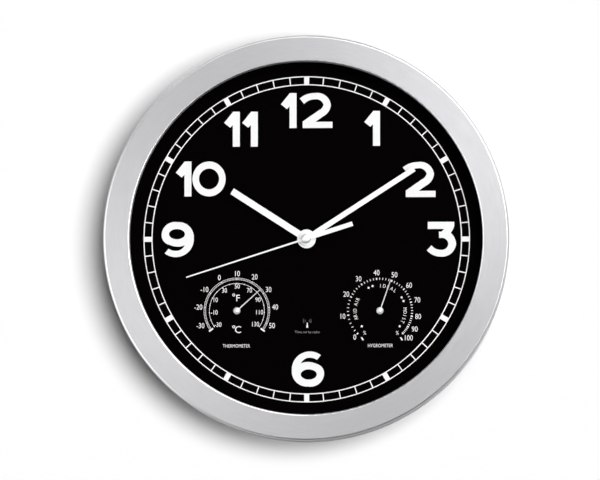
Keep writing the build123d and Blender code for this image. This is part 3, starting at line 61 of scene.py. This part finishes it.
HUMIDITY_HEIGHT = 4.0
HUMIDITY_LABELS = (
    ("0", -19.0, -19.8), ("10", -27.9, -4.1), ("20", -25.4, 12.6), ("30", -16.1, 24.1), ("40", -2.6, 28.7),
    ("50", 10.9, 27.1), ("60", 21.9, 19.2), ("70", 28.1, 8.1), ("80", 28.7, -4.3), ("90", 26.1, -13.8),
    ("100", 21.7, -20.4),
)
ZONE_WORDS = (("ARID AIR", -85.0, 46.0), ("IDEAL", 19.0, 36.0), ("MOIST", 101.0, 30.0))
ZONE_RADIUS = 18.9
ZONE_HEIGHT = 2.6
ZONE_DOTS = ((-8.6, 17.3), (-5.6, 18.6), (16.3, 10.0), (17.7, 7.3), (-13.7, -11.7), (14.8, -11.7))
ZONE_DOT_SIZE = 1.4
ZONE_DOT_TURN = 20
PERCENT_HEIGHT = 2.8
PERCENT_SIGNS = ((-11.5, -16.6), (13.0, -16.6))
END_BARS = ((-13.3, -21.1), (16.1, -21.1))
END_BAR_WIDTH = 1.0
END_BAR_HEIGHT = 2.6
END_BAR_TURN = -35
HYGROMETER_NAME_PLACE = (0.3, -26.2)

# Radio sign: a mast, waves on both sides of its tip and a caption under it
RADIO_SIGN = (0.4, -61.7)
MAST_WIDTH = 1.5
MAST_TIP_WIDTH = 0.6
MAST_HEIGHT = 3.7
MAST_DROP = 3.1
WAVE_RADII = (1.6, 2.9)
WAVE_LINE = 0.5
WAVE_HALF_SWEEP = 32
CAPTION_HEIGHT = 2.4
CAPTION_DROP = 8.5

# Noise values between which a grain runs from its low to its high end
GRAIN_LOW = 0.3
GRAIN_HIGH = 0.7

# Glows of the room: angle, slant from the dial's axis, strength, and the cosine at which each begins.
# The last one has a strength below zero and makes its side of the room dimmer.
GLOWS = ((40, 55, 0.6, 0.75), (347, 42, 1.25, 0.86), (258, 64, 1.7, 0.7), (155, 72, -0.42, 0.65))
GLOW_FULL = 0.98

# Camera: its distance, the spot of the dial that it looks at, and how far it stands to the right and below
CAMERA_DISTANCE = 6000.0
CAMERA_AIM = (-5.04, -0.61)
CAMERA_RIGHT = 1.4
CAMERA_BELOW = 2.9

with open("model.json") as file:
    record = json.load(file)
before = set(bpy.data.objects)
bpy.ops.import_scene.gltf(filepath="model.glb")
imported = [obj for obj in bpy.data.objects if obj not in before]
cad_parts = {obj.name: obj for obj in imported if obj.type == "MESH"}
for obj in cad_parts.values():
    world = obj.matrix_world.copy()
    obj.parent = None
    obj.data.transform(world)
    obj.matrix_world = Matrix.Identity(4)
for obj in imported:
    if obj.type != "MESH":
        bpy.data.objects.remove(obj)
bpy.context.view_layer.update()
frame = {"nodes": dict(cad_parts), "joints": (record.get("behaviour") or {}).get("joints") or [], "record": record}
nodes_by_name = frame["nodes"]


def axis_on_dial(joint):
    """Where a joint's axis stands on the dial, in millimetres."""
    x, _, z = next(entry["pos_m"] for entry in frame["joints"] if entry["name"] == joint)
    return x / MM, z / MM


THERMOMETER = axis_on_dial("thermometer_turn")
HYGROMETER = axis_on_dial("hygrometer_turn")
DIAL_FRONT = -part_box("dial_plate")[0].y / MM


# Helpers for shader nodes
def principled(name):
    """New material with its node tree and its surface shader."""
    made = bpy.data.materials.new(name)
    made.use_nodes = True
    return made, made.node_tree.nodes, made.node_tree.links, made.node_tree.nodes["Principled BSDF"]


def feed(links, sockets, values):
    """Links the sockets of other nodes, and sets plain numbers and vectors."""
    for socket, value in zip(sockets, values):
        if isinstance(value, bpy.types.NodeSocket):
            links.new(value, socket)
        else:
            socket.default_value = value


def feed_named(links, made, values):
    """The same for inputs given by their names."""
    feed(links, [made.inputs[name] for name in values], values.values())


def math_node(nodes, links, operation, *values):
    """Value of a sum, product or test of sockets and numbers."""
    made = nodes.new("ShaderNodeMath")
    made.operation = operation
    feed(links, made.inputs, values)
    return made.outputs["Value"]


def vector_node(nodes, links, operation, *values):
    """Outputs of a vector operation on sockets and vectors."""
    made = nodes.new("ShaderNodeVectorMath")
    made.operation = operation
    feed(links, made.inputs, values)
    return made.outputs


def map_range(nodes, links, value, source, target, interpolation="LINEAR"):
    """Value carried from one range to another."""
    ranged = nodes.new("ShaderNodeMapRange")
    ranged.interpolation_type = interpolation
    feed_named(links, ranged, {
        "Value": value,
        "From Min": source[0],
        "From Max": source[1],
        "To Min": target[0],
        "To Max": target[1],
    })
    return ranged.outputs["Result"]


def blend(nodes, links, kind, factor, first, second):
    """Number, colour or vector between two others."""
    mixed = nodes.new("ShaderNodeMix")
    mixed.data_type = kind
    feed_named(links, mixed, {"Factor": factor, "A": first, "B": second})
    return mixed.outputs["Result"]


def mix_shaders(nodes, links, factor, first, second):
    """Shader between two others."""
    mixed = nodes.new("ShaderNodeMixShader")
    feed(links, mixed.inputs, (factor, first, second))
    return mixed.outputs["Shader"]


def object_place(nodes):
    """Place on a piece, in metres."""
    return nodes.new("ShaderNodeTexCoord").outputs["Object"]


def split_place(nodes, links, place):
    """The three numbers of a place."""
    split = nodes.new("ShaderNodeSeparateXYZ")
    links.new(place, split.inputs["Vector"])
    return split.outputs["X"], split.outputs["Y"], split.outputs["Z"]


def join_place(nodes, links, **axes):
    """Place made from the numbers given, zero for the rest."""
    joined = nodes.new("ShaderNodeCombineXYZ")
    for axis, value in axes.items():
        links.new(value, joined.inputs[axis.upper()])
    return joined.outputs["Vector"]


def noise(nodes, links, place, scale, detail=2.0):
    """Fine noise over a piece."""
    made = nodes.new("ShaderNodeTexNoise")
    feed_named(links, made, {"Vector": place, "Scale": scale, "Detail": detail})
    return made.outputs["Fac"]


def shade(colour, factor):
    """A colour made darker or lighter."""
    return tuple(min(1.0, part * factor) for part in colour) + (1.0,)


def tone_ramp(nodes, links, factor, colour, tone):
    """Ramp from a darker to a lighter tone of one colour."""
    ramp = nodes.new("ShaderNodeValToRGB")
    dark, light = ramp.color_ramp.elements
    dark.position = GRAIN_LOW
    dark.color = shade(colour, 1 - tone)
    light.position = GRAIN_HIGH
    light.color = shade(colour, 1 + tone)
    links.new(factor, ramp.inputs["Fac"])
    return ramp.outputs["Color"]


def spread(nodes, links, factor, middle, half):
    """Noise value spread about a middle."""
    return map_range(nodes, links, factor, (GRAIN_LOW, GRAIN_HIGH), (middle - half, middle + half))


def relief(nodes, links, height, strength, distance, normal=None):
    """Bump from a height value."""
    bump = nodes.new("ShaderNodeBump")
    if normal:
        links.new(normal, bump.inputs["Normal"])
    feed_named(links, bump, {"Height": height, "Strength": strength, "Distance": distance})
    return bump.outputs["Normal"]


# Materials
def grained(name, colour, roughness, metallic=0.0, scale=1500.0, tone=0.06, rough=0.05, bump=0.1,
            sheen=0.5):
    """Surface with a fine grain in its tone, gloss and relief."""
    made, nodes, links, surface = principled(name)
    grain = noise(nodes, links, object_place(nodes), scale, detail=4.0)
    links.new(tone_ramp(nodes, links, grain, colour, tone), surface.inputs["Base Color"])
    links.new(spread(nodes, links, grain, roughness, rough), surface.inputs["Roughness"])
    links.new(relief(nodes, links, grain, bump, 0.00005), surface.inputs["Normal"])
    surface.inputs["Metallic"].default_value = metallic
    surface.inputs["Specular IOR Level"].default_value = sheen
    return made


def rounded_normals(nodes, links, flat, radius, depth):
    """Even normals for the ring's two rounded edges, from the middles of their roundings."""
    outward = vector_node(nodes, links, "NORMALIZE", flat)["Vector"]
    normal = nodes.new("ShaderNodeNewGeometry").outputs["Normal"]
    for (middle, back), side in ((LIP_CENTRE, "LESS_THAN"), (EDGE_CENTRE, "GREATER_THAN")):
        across = nodes.new("ShaderNodeVectorMath")
        across.operation = "SCALE"
        beyond = math_node(nodes, links, "SUBTRACT", radius, middle * MM)
        feed(links, (across.inputs[0], across.inputs["Scale"]), (outward, beyond))
        along = join_place(nodes, links, y=math_node(nodes, links, "ADD", depth, back * MM))
        turned = nodes.new("ShaderNodeVectorTransform")
        turned.vector_type = "NORMAL"
        turned.convert_from = "OBJECT"
        turned.convert_to = "WORLD"
        summed = vector_node(nodes, links, "ADD", across.outputs["Vector"], along)["Vector"]
        links.new(summed, turned.inputs["Vector"])
        beside = math_node(nodes, links, side, radius, middle * MM)
        ahead = math_node(nodes, links, "LESS_THAN", depth, -back * MM)
        rounded = math_node(nodes, links, "MULTIPLY", beside, ahead)
        normal = blend(nodes, links, "VECTOR", rounded, normal, turned.outputs["Vector"])
    return normal


def ring_metal(name, colour, roughness, edge_colour, edge_roughness, stroke=0.004):
    """Metal brushed in circles about the dial's axis, with polished edges on both sides of the face."""
    made, nodes, links, surface = principled(name)
    x, depth, z = split_place(nodes, links, object_place(nodes))
    flat = join_place(nodes, links, x=x, z=z)
    radius = vector_node(nodes, links, "LENGTH", flat)["Value"]
    turn = math_node(nodes, links, "MULTIPLY", math_node(nodes, links, "ARCTAN2", x, z), stroke)
    strokes = join_place(nodes, links, x=radius, y=turn, z=depth)
    grain = noise(nodes, links, strokes, 3000.0, detail=3.0)
    bands = [math_node(nodes, links, "COMPARE", radius, (inner + outer) / 2 * MM, (outer - inner) / 2 * MM)
             for inner, outer in RING_EDGES]
    polished = math_node(nodes, links, "ADD", *bands)
    face_tone = tone_ramp(nodes, links, grain, colour, 0.03)
    edge_tone = tone_ramp(nodes, links, grain, edge_colour, 0.02)
    links.new(blend(nodes, links, "RGBA", polished, face_tone, edge_tone), surface.inputs["Base Color"])
    face_gloss = spread(nodes, links, grain, roughness, 0.05)
    edge_gloss = spread(nodes, links, grain, edge_roughness, 0.03)
    links.new(blend(nodes, links, "FLOAT", polished, face_gloss, edge_gloss), surface.inputs["Roughness"])
    even = rounded_normals(nodes, links, flat, radius, depth)
    links.new(relief(nodes, links, grain, 0.08, 0.00003, even), surface.inputs["Normal"])
    tangent = nodes.new("ShaderNodeTangent")
    tangent.direction_type = "RADIAL"
    tangent.axis = "Y"
    links.new(tangent.outputs["Tangent"], surface.inputs["Tangent"])
    surface.inputs["Metallic"].default_value = 1.0
    surface.inputs["Anisotropic"].default_value = 0.75
    surface.inputs["Anisotropic Rotation"].default_value = 0.25
    return made


def window_glass(name):
    """Coated clear glass: light goes straight through, with a faint reflection."""
    made, nodes, links, surface = principled(name)
    nodes.remove(surface)
    grain = noise(nodes, links, object_place(nodes), 60.0)
    clear = nodes.new("ShaderNodeBsdfTransparent")
    links.new(tone_ramp(nodes, links, grain, (0.984, 0.986, 0.985), 0.006), clear.inputs["Color"])
    gloss = nodes.new("ShaderNodeBsdfGlossy")
    gloss.inputs["Roughness"].default_value = 0.02
    slant = nodes.new("ShaderNodeLayerWeight")
    slant.inputs["Blend"].default_value = 0.5
    steep = math_node(nodes, links, "POWER", slant.outputs["Facing"], 5.0)
    coat = math_node(nodes, links, "MULTIPLY", steep, 0.5)
    mixed = mix_shaders(nodes, links, coat, clear.outputs["BSDF"], gloss.outputs["BSDF"])
    links.new(mixed, nodes["Material Output"].inputs["Surface"])
    return made


def wound_wire(name, colour):
    """Windings: fine bands along the coil's length."""
    made, nodes, links, surface = principled(name)
    wave = nodes.new("ShaderNodeTexWave")
    wave.wave_type = "BANDS"
    wave.bands_direction = "X"
    wave.inputs["Scale"].default_value = 900.0
    wave.inputs["Distortion"].default_value = 0.4
    links.new(object_place(nodes), wave.inputs["Vector"])
    bands = wave.outputs["Fac"]
    links.new(tone_ramp(nodes, links, bands, colour, 0.25), surface.inputs["Base Color"])
    links.new(relief(nodes, links, bands, 0.6, 0.0001), surface.inputs["Normal"])
    surface.inputs["Metallic"].default_value = 0.85
    surface.inputs["Roughness"].default_value = 0.35
    return made


def two_tone_pointer(name, centre):
    """Off-white needle with a brighter, partly metallic hub."""
    made, nodes, links, surface = principled(name)
    place = object_place(nodes)
    x, _, z = split_place(nodes, links, place)
    flat = join_place(nodes, links, x=x, z=z)
    reach = vector_node(nodes, links, "DISTANCE", flat, (centre[0] * MM, 0.0, centre[1] * MM))["Value"]
    needle = math_node(nodes, links, "GREATER_THAN", reach, HUB_RADIUS * MM)
    grain = noise(nodes, links, place, 2500.0)
    hub_tone = tone_ramp(nodes, links, grain, (0.85, 0.85, 0.86), 0.04)
    needle_tone = tone_ramp(nodes, links, grain, (0.62, 0.62, 0.615), 0.03)
    links.new(blend(nodes, links, "RGBA", needle, hub_tone, needle_tone), surface.inputs["Base Color"])
    metal = math_node(nodes, links, "MULTIPLY_ADD", needle, -HUB_METAL, HUB_METAL)
    links.new(metal, surface.inputs["Metallic"])
    surface.inputs["Roughness"].default_value = 0.34
    return made


def sleeved_cell(name, first, last):
    """Cell in a plain printed sleeve: a band at the plus end, bare metal at both ends."""
    made, nodes, links, surface = principled(name)
    place = object_place(nodes)
    x, _, _ = split_place(nodes, links, place)
    bare, sleeve, line, band = (0.5, 0.5, 0.52), (0.025, 0.07, 0.10), (0.55, 0.57, 0.58), (0.03, 0.24, 0.26)
    ramp = nodes.new("ShaderNodeValToRGB")
    ramp.color_ramp.interpolation = "CONSTANT"
    stops = ramp.color_ramp.elements
    stops[0].color = shade(bare, 1)
    stops[1].color = shade(bare, 1)
    stops[1].position = 0.95
    for position, colour in ((0.025, sleeve), (0.62, line), (0.65, band)):
        stops.new(position).color = shade(colour, 1)
    links.new(map_range(nodes, links, x, (first, last), (0.0, 1.0)), ramp.inputs["Fac"])
    links.new(ramp.outputs["Color"], surface.inputs["Base Color"])
    grain = noise(nodes, links, place, 300.0)
    links.new(spread(nodes, links, grain, 0.28, 0.06), surface.inputs["Roughness"])
    return made


def board_resist(name):
    """Circuit board: green resist over a grid of faint tracks."""
    made, nodes, links, surface = principled(name)
    turned = nodes.new("ShaderNodeMapping")
    turned.inputs["Rotation"].default_value = (math.pi / 2, 0.0, 0.0)
    links.new(object_place(nodes), turned.inputs["Vector"])
    tracks = nodes.new("ShaderNodeTexBrick")
    tracks.inputs["Scale"].default_value = 260.0
    tracks.inputs["Color1"].default_value = (0.03, 0.16, 0.07, 1)
    tracks.inputs["Color2"].default_value = (0.04, 0.20, 0.09, 1)
    tracks.inputs["Mortar"].default_value = (0.07, 0.30, 0.13, 1)
    links.new(turned.outputs["Vector"], tracks.inputs["Vector"])
    links.new(tracks.outputs["Color"], surface.inputs["Base Color"])
    surface.inputs["Roughness"].default_value = 0.3
    return made


white_print = grained("white_print", (0.93, 0.93, 0.925), 0.55, scale=1800, tone=0.02, bump=0.03)
grey_print = grained("grey_print", (0.22, 0.22, 0.22), 0.6, scale=1800, tone=0.05, bump=0.03)
faint_print = grained("faint_print", (0.04, 0.04, 0.04), 0.6, scale=1800, tone=0.05, bump=0.03)
white_paint = grained("white_paint", (0.93, 0.93, 0.925), 0.4, scale=900, tone=0.02, bump=0.04)
case_plastic = grained("case_plastic", (0.022, 0.022, 0.024), 0.52, scale=2600, tone=0.2, bump=0.35)
dial_paint = grained("dial_paint", (0.0008, 0.0003, 0.0003), 0.8, scale=2200, tone=0.3, bump=0.1, sheen=0.01)
spacer_plastic = grained(
    "spacer_plastic", (0.002, 0.0016, 0.0016), 0.75, scale=2600, tone=0.2, bump=0.2, sheen=0.03)
zinc = grained("zinc", (0.62, 0.63, 0.64), 0.36, metallic=1.0, scale=700, tone=0.08, rough=0.1, bump=0.06)
brass = grained("brass", (0.72, 0.53, 0.24), 0.3, metallic=1.0, scale=1200, tone=0.06, rough=0.08, bump=0.06)
strip_metal = grained("strip_metal", (0.64, 0.52, 0.34), 0.32, metallic=1.0, scale=900, tone=0.08, bump=0.05)
bright_metal = grained("bright_metal", (0.78, 0.79, 0.80), 0.24, metallic=1.0, tone=0.03, bump=0.02)
satin_metal = grained("satin_metal", (0.90, 0.90, 0.91), 0.5, metallic=0.8, tone=0.03, bump=0.03)
wheel_plastic = grained("wheel_plastic", (0.80, 0.79, 0.73), 0.45, tone=0.03, bump=0.05)
chip_plastic = grained("chip_plastic", (0.03, 0.03, 0.032), 0.55, scale=3000, tone=0.15, bump=0.2)
ferrite = grained("ferrite", (0.05, 0.05, 0.055), 0.48, scale=2500, tone=0.2, bump=0.25)
magnet = grained("magnet", (0.3, 0.3, 0.31), 0.4, metallic=0.7, tone=0.08, bump=0.08)
soft_rubber = grained("soft_rubber", (0.02, 0.02, 0.02), 0.8, scale=3000, tone=0.2, bump=0.3)
key_plastic = grained("key_plastic", (0.6, 0.6, 0.58), 0.45, scale=2400, tone=0.04, bump=0.1)
ring_face = ring_metal("ring_face", (0.412, 0.409, 0.42), 0.72, (0.72, 0.72, 0.73), 0.33)
copper = wound_wire("copper", (0.62, 0.28, 0.12))
clear_glass = window_glass("clear_glass")
board = board_resist("board")
battery_low, battery_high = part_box("battery")
cell = sleeved_cell("cell", battery_low[0], battery_high[0])

finishes = {
    "satin_aluminium": ring_face,
    "clear_glass": clear_glass,
    "dial_black": dial_paint,
    "dial_white": white_print,
    "hand_white": white_paint,
    "case_black": case_plastic,
    "bright_metal": bright_metal,
    "zinc_steel": zinc,
    "brass_metal": brass,
    "bimetal": strip_metal,
    "wheel_plastic": wheel_plastic,
    "copper_wire": copper,
    "board_green": board,
    "chip_black": chip_plastic,
    "ferrite": ferrite,
    "magnet_grey": magnet,
    "battery_jacket": cell,
    "washer_rubber": soft_rubber,
    "button_grey": key_plastic,
}
own_finishes = {
    "dial_spacer_ring": spacer_plastic,
    "second_hand_cap": satin_metal,
    "thermometer_pointer": two_tone_pointer("thermometer_pointer_finish", THERMOMETER),
    "hygrometer_pointer": two_tone_pointer("hygrometer_pointer_finish", HYGROMETER),
}
slot_of_node = {entry["node"]: entry["material_slot"] for entry in frame["record"]["subparts"]}
for name, piece in nodes_by_name.items():
    finish = own_finishes.get(name) or finishes[slot_of_node[name]]
    piece.data.materials.clear()
    piece.data.materials.append(finish)


# Small dial print
def text_mesh(text, height, width_share=NARROW_SHARE):
    """Flat lettering about its own centre, narrow unless a share is given."""
    curve = bpy.data.curves.new("lettering", "FONT")
    curve.body = text
    curve.resolution_u = 3
    writer = bpy.data.objects.new("lettering", curve)
    bpy.context.scene.collection.objects.link(writer)
    bpy.context.view_layer.update()
    flat = bpy.data.meshes.new_from_object(writer.evaluated_get(bpy.context.evaluated_depsgraph_get()))
    bpy.data.objects.remove(writer)
    bpy.data.curves.remove(curve)
    low = Vector((min(v.co.x for v in flat.vertices), min(v.co.y for v in flat.vertices), 0))
    high = Vector((max(v.co.x for v in flat.vertices), max(v.co.y for v in flat.vertices), 0))
    size = height * MM / (high.y - low.y)
    scaled = Matrix.Diagonal((size * width_share, size, size, 1))
    flat.transform(scaled @ Matrix.Translation(-(low + high) / 2))
    return flat


def bar_mesh(width, height, top_width=None):
    """Small flat bar about its own centre, with another width at its top where one is given."""
    flat = bpy.data.meshes.new("bar")
    x, y, top = width * MM / 2, height * MM / 2, (top_width or width) * MM / 2
    flat.from_pydata([(-x, -y, 0), (x, -y, 0), (top, y, 0), (-top, y, 0)], [], [(0, 1, 2, 3)])
    return flat


def arc_mesh(radius, line, first, last, steps=16):
    """Flat arc between two clockwise angles from the top."""
    points = []
    for step in range(steps + 1):
        angle = math.radians(first + (last - first) * step / steps)
        for reach in (radius - line / 2, radius + line / 2):
            points.append((reach * MM * math.sin(angle), reach * MM * math.cos(angle), 0))
    faces = [(2 * n, 2 * n + 1, 2 * n + 3, 2 * n + 2) for n in range(steps)]
    flat = bpy.data.meshes.new("arc")
    flat.from_pydata(points, [], faces)
    return flat


def placed(flat, centre, x, z, clockwise=0.0):
    """Flat mesh stood up on the dial."""
    stand = Matrix.Rotation(math.pi / 2, 4, "X")
    turn = Matrix.Rotation(-math.radians(clockwise), 4, "Z")
    spot = Matrix.Translation(((centre[0] + x) * MM, -(DIAL_FRONT + PRINT_DEPTH) * MM, (centre[1] + z) * MM))
    flat.transform(spot @ stand @ turn)
    return flat


def labels(table, height, centre):
    """Upright figures at their places."""
    return [placed(text_mesh(text, height), centre, x, z) for text, x, z in table]


def arc_text(text, centre, radius, middle, sweep, height):
    """Letters spread along an arc, each standing outward."""
    step = sweep / (len(text) - 1)
    letters = []
    for number, letter in enumerate(text):
        angle = middle - sweep / 2 + number * step
        if letter != " ":
            x, z = radius * math.sin(math.radians(angle)), radius * math.cos(math.radians(angle))
            letters.append(placed(text_mesh(letter, height), centre, x, z, angle))
    return letters


def printed(name, flats, finish):
    """One piece of print from flat meshes."""
    points, faces = [], []
    for flat in flats:
        start = len(points)
        points += [v.co.copy() for v in flat.vertices]
        faces += [tuple(start + i for i in face.vertices) for face in flat.polygons]
        bpy.data.meshes.remove(flat)
    mesh = bpy.data.meshes.new(name)
    mesh.from_pydata(points, [], faces)
    mesh.materials.append(finish)
    piece = bpy.data.objects.new(name, mesh)
    bpy.context.scene.collection.objects.link(piece)
    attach(piece, "case")
    return piece


thermometer_print = labels(CELSIUS_LABELS, CELSIUS_HEIGHT, THERMOMETER)
thermometer_print += labels(FAHRENHEIT_LABELS, FAHRENHEIT_HEIGHT, THERMOMETER)
for letter, height, letter_place, degree_place in UNIT_LETTERS:
    thermometer_print.append(placed(text_mesh(letter, height, 1.0), THERMOMETER, *letter_place))
    thermometer_print.append(placed(arc_mesh(DEGREE_RADIUS, DEGREE_LINE, 0, 360), THERMOMETER, *degree_place))
thermometer_name = text_mesh("THERMOMETER", INSTRUMENT_NAME_HEIGHT)
thermometer_print.append(placed(thermometer_name, THERMOMETER, *THERMOMETER_NAME_PLACE))
printed("thermometer_print", thermometer_print, white_print)

hygrometer_print = labels(HUMIDITY_LABELS, HUMIDITY_HEIGHT, HYGROMETER)
hygrometer_print += [
    placed(bar_mesh(ZONE_DOT_SIZE, ZONE_DOT_SIZE), HYGROMETER, x, z, ZONE_DOT_TURN) for x, z in ZONE_DOTS]
for word, middle, sweep in ZONE_WORDS:
    hygrometer_print += arc_text(word, HYGROMETER, ZONE_RADIUS, middle, sweep, ZONE_HEIGHT)
hygrometer_print += [placed(text_mesh("%", PERCENT_HEIGHT), HYGROMETER, x, z) for x, z in PERCENT_SIGNS]
hygrometer_print += [
    placed(bar_mesh(END_BAR_WIDTH, END_BAR_HEIGHT), HYGROMETER, x, z, END_BAR_TURN) for x, z in END_BARS]
hygrometer_name = text_mesh("HYGROMETER", INSTRUMENT_NAME_HEIGHT)
hygrometer_print.append(placed(hygrometer_name, HYGROMETER, *HYGROMETER_NAME_PLACE))
printed("hygrometer_print", hygrometer_print, white_print)

mast = placed(bar_mesh(MAST_WIDTH, MAST_HEIGHT, MAST_TIP_WIDTH), RADIO_SIGN, 0, -MAST_DROP)
printed("radio_mast", [mast], white_print)
waves = [placed(arc_mesh(radius, WAVE_LINE, side - WAVE_HALF_SWEEP, side + WAVE_HALF_SWEEP), RADIO_SIGN, 0, 0)
         for radius in WAVE_RADII for side in (-90, 90)]
printed("radio_waves", waves, faint_print)
caption = placed(text_mesh("Time set by radio", CAPTION_HEIGHT, 1.0), RADIO_SIGN, 0, -CAPTION_DROP)
printed("radio_caption", [caption], grey_print)


# Wall, light and camera
def lamp(name, kind, target, direction, distance, energy, size):
    """Lamp that shines at a target from a direction."""
    data = bpy.data.lights.new(name, kind)
    data.energy = energy
    if kind == "SUN":
        data.angle = size
    else:
        data.shape = "DISK"
        data.size = size
    made = bpy.data.objects.new(name, data)
    away = Vector(direction).normalized()
    made.location = Vector(target) + away * distance
    made.rotation_mode = "QUATERNION"
    made.rotation_quaternion = away.to_track_quat("Z", "Y")
    bpy.context.scene.collection.objects.link(made)
    return made


def first_reflection(nodes, links):
    """One for what a shiny surface shows to the eye, zero for light that it passes on to the wall."""
    path = nodes.new("ShaderNodeLightPath")
    direct = math_node(nodes, links, "LESS_THAN", path.outputs["Diffuse Depth"], 0.5)
    return math_node(nodes, links, "MULTIPLY", path.outputs["Is Glossy Ray"], direct)


def wall_plane(mirrored, half=1.6, gap=0.0006):
    """White wall behind the clock. From behind it is clear, so the clock's back can be seen."""
    made, nodes, links, surface = principled("wall_paint")
    surface.inputs["Base Color"].default_value = (0.97, 0.97, 0.97, 1)
    surface.inputs["Roughness"].default_value = 1.0
    surface.inputs["Specular IOR Level"].default_value = 0.0
    glow = nodes.new("ShaderNodeEmission")
    glow.inputs["Strength"].default_value = mirrored
    seen = first_reflection(nodes, links)
    front = mix_shaders(nodes, links, seen, surface.outputs["BSDF"], glow.outputs["Emission"])
    behind = nodes.new("ShaderNodeNewGeometry").outputs["Backfacing"]
    clear = nodes.new("ShaderNodeBsdfTransparent")
    mixed = mix_shaders(nodes, links, behind, front, clear.outputs["BSDF"])
    links.new(mixed, nodes["Material Output"].inputs["Surface"])
    mesh = bpy.data.meshes.new("wall")
    corners = [(-half, gap, -half), (half, gap, -half), (half, gap, half), (-half, gap, half)]
    mesh.from_pydata(corners, [], [(0, 1, 2, 3)])
    mesh.materials.append(made)
    wall = bpy.data.objects.new("wall", mesh)
    wall.visible_shadow = False
    wall.visible_diffuse = False
    bpy.context.scene.collection.objects.link(wall)


def background(nodes, links, colour, strength):
    """Even background of one colour."""
    made = nodes.new("ShaderNodeBackground")
    feed_named(links, made, {"Color": colour, "Strength": strength})
    return made.outputs["Background"]


def room(fill, ahead, around, glows):
    """White to the eye, a soft even fill for matt surfaces, lit and dim sides for shiny ones."""
    world = bpy.data.worlds.new("room")
    world.use_nodes = True
    bpy.context.scene.world = world
    nodes, links = world.node_tree.nodes, world.node_tree.links
    nodes.remove(nodes["Background"])
    place = nodes.new("ShaderNodeTexCoord").outputs["Generated"]
    _, depth, _ = split_place(nodes, links, place)
    total = map_range(nodes, links, depth, (-0.6, -0.15), (ahead, around), "SMOOTHSTEP")
    for clockwise, slant, strength, begin in glows:
        angle, lean = math.radians(clockwise), math.radians(slant)
        middle = (math.sin(lean) * math.sin(angle), -math.cos(lean), math.sin(lean) * math.cos(angle))
        nearness = vector_node(nodes, links, "DOT_PRODUCT", place, middle)["Value"]
        glow = map_range(nodes, links, nearness, (begin, GLOW_FULL), (0.0, strength), "SMOOTHSTEP")
        total = math_node(nodes, links, "ADD", total, glow)
    soft = background(nodes, links, (1, 1, 1, 1), fill)
    seen = background(nodes, links, (0.99, 0.985, 1, 1), total)
    white = background(nodes, links, (1, 1, 1, 1), 1.0)
    shiny = mix_shaders(nodes, links, first_reflection(nodes, links), soft, seen)
    path = nodes.new("ShaderNodeLightPath")
    mixed = mix_shaders(nodes, links, path.outputs["Is Camera Ray"], shiny, white)
    links.new(mixed, nodes["World Output"].inputs["Surface"])


wall_plane(mirrored=0.6)
room(fill=0.02, ahead=0.1, around=0.5, glows=GLOWS)
key = lamp("key", "SUN", target=(0.0, 0.0, 0.0), direction=(0.285, -1.0, 0.084), distance=2.0,
           energy=3.3, size=math.radians(34))
key.data.cycles.max_bounces = 0
top_glow = lamp("top_glow", "AREA", target=(0.09, -0.045, 0.1), direction=(0.38, -1.0, 0.5), distance=0.42,
                energy=1.9, size=0.6)
top_glow.visible_diffuse = False
lamp("rear_fill", "AREA", target=(0.0, 0.0, 0.0), direction=(-0.6, 1.0, 0.7), distance=1.6,
     energy=22.0, size=1.0)

camera_data = bpy.data.cameras.new("camera")
camera_data.sensor_width = 36.0
camera_data.lens = 478.0
camera_data.clip_end = 20.0
camera = bpy.data.objects.new("camera", camera_data)
aim = Vector((CAMERA_AIM[0] * MM, -DIAL_FRONT * MM, CAMERA_AIM[1] * MM))
right = math.tan(math.radians(CAMERA_RIGHT))
below = math.tan(math.radians(CAMERA_BELOW))
away = Vector((right, -1.0, -below)).normalized()
camera.location = aim + away * (CAMERA_DISTANCE * MM)
camera.rotation_mode = "QUATERNION"
camera.rotation_quaternion = away.to_track_quat("Z", "Y")
bpy.context.scene.collection.objects.link(camera)
bpy.context.scene.camera = camera
bpy.context.scene.view_settings.view_transform = "Standard"
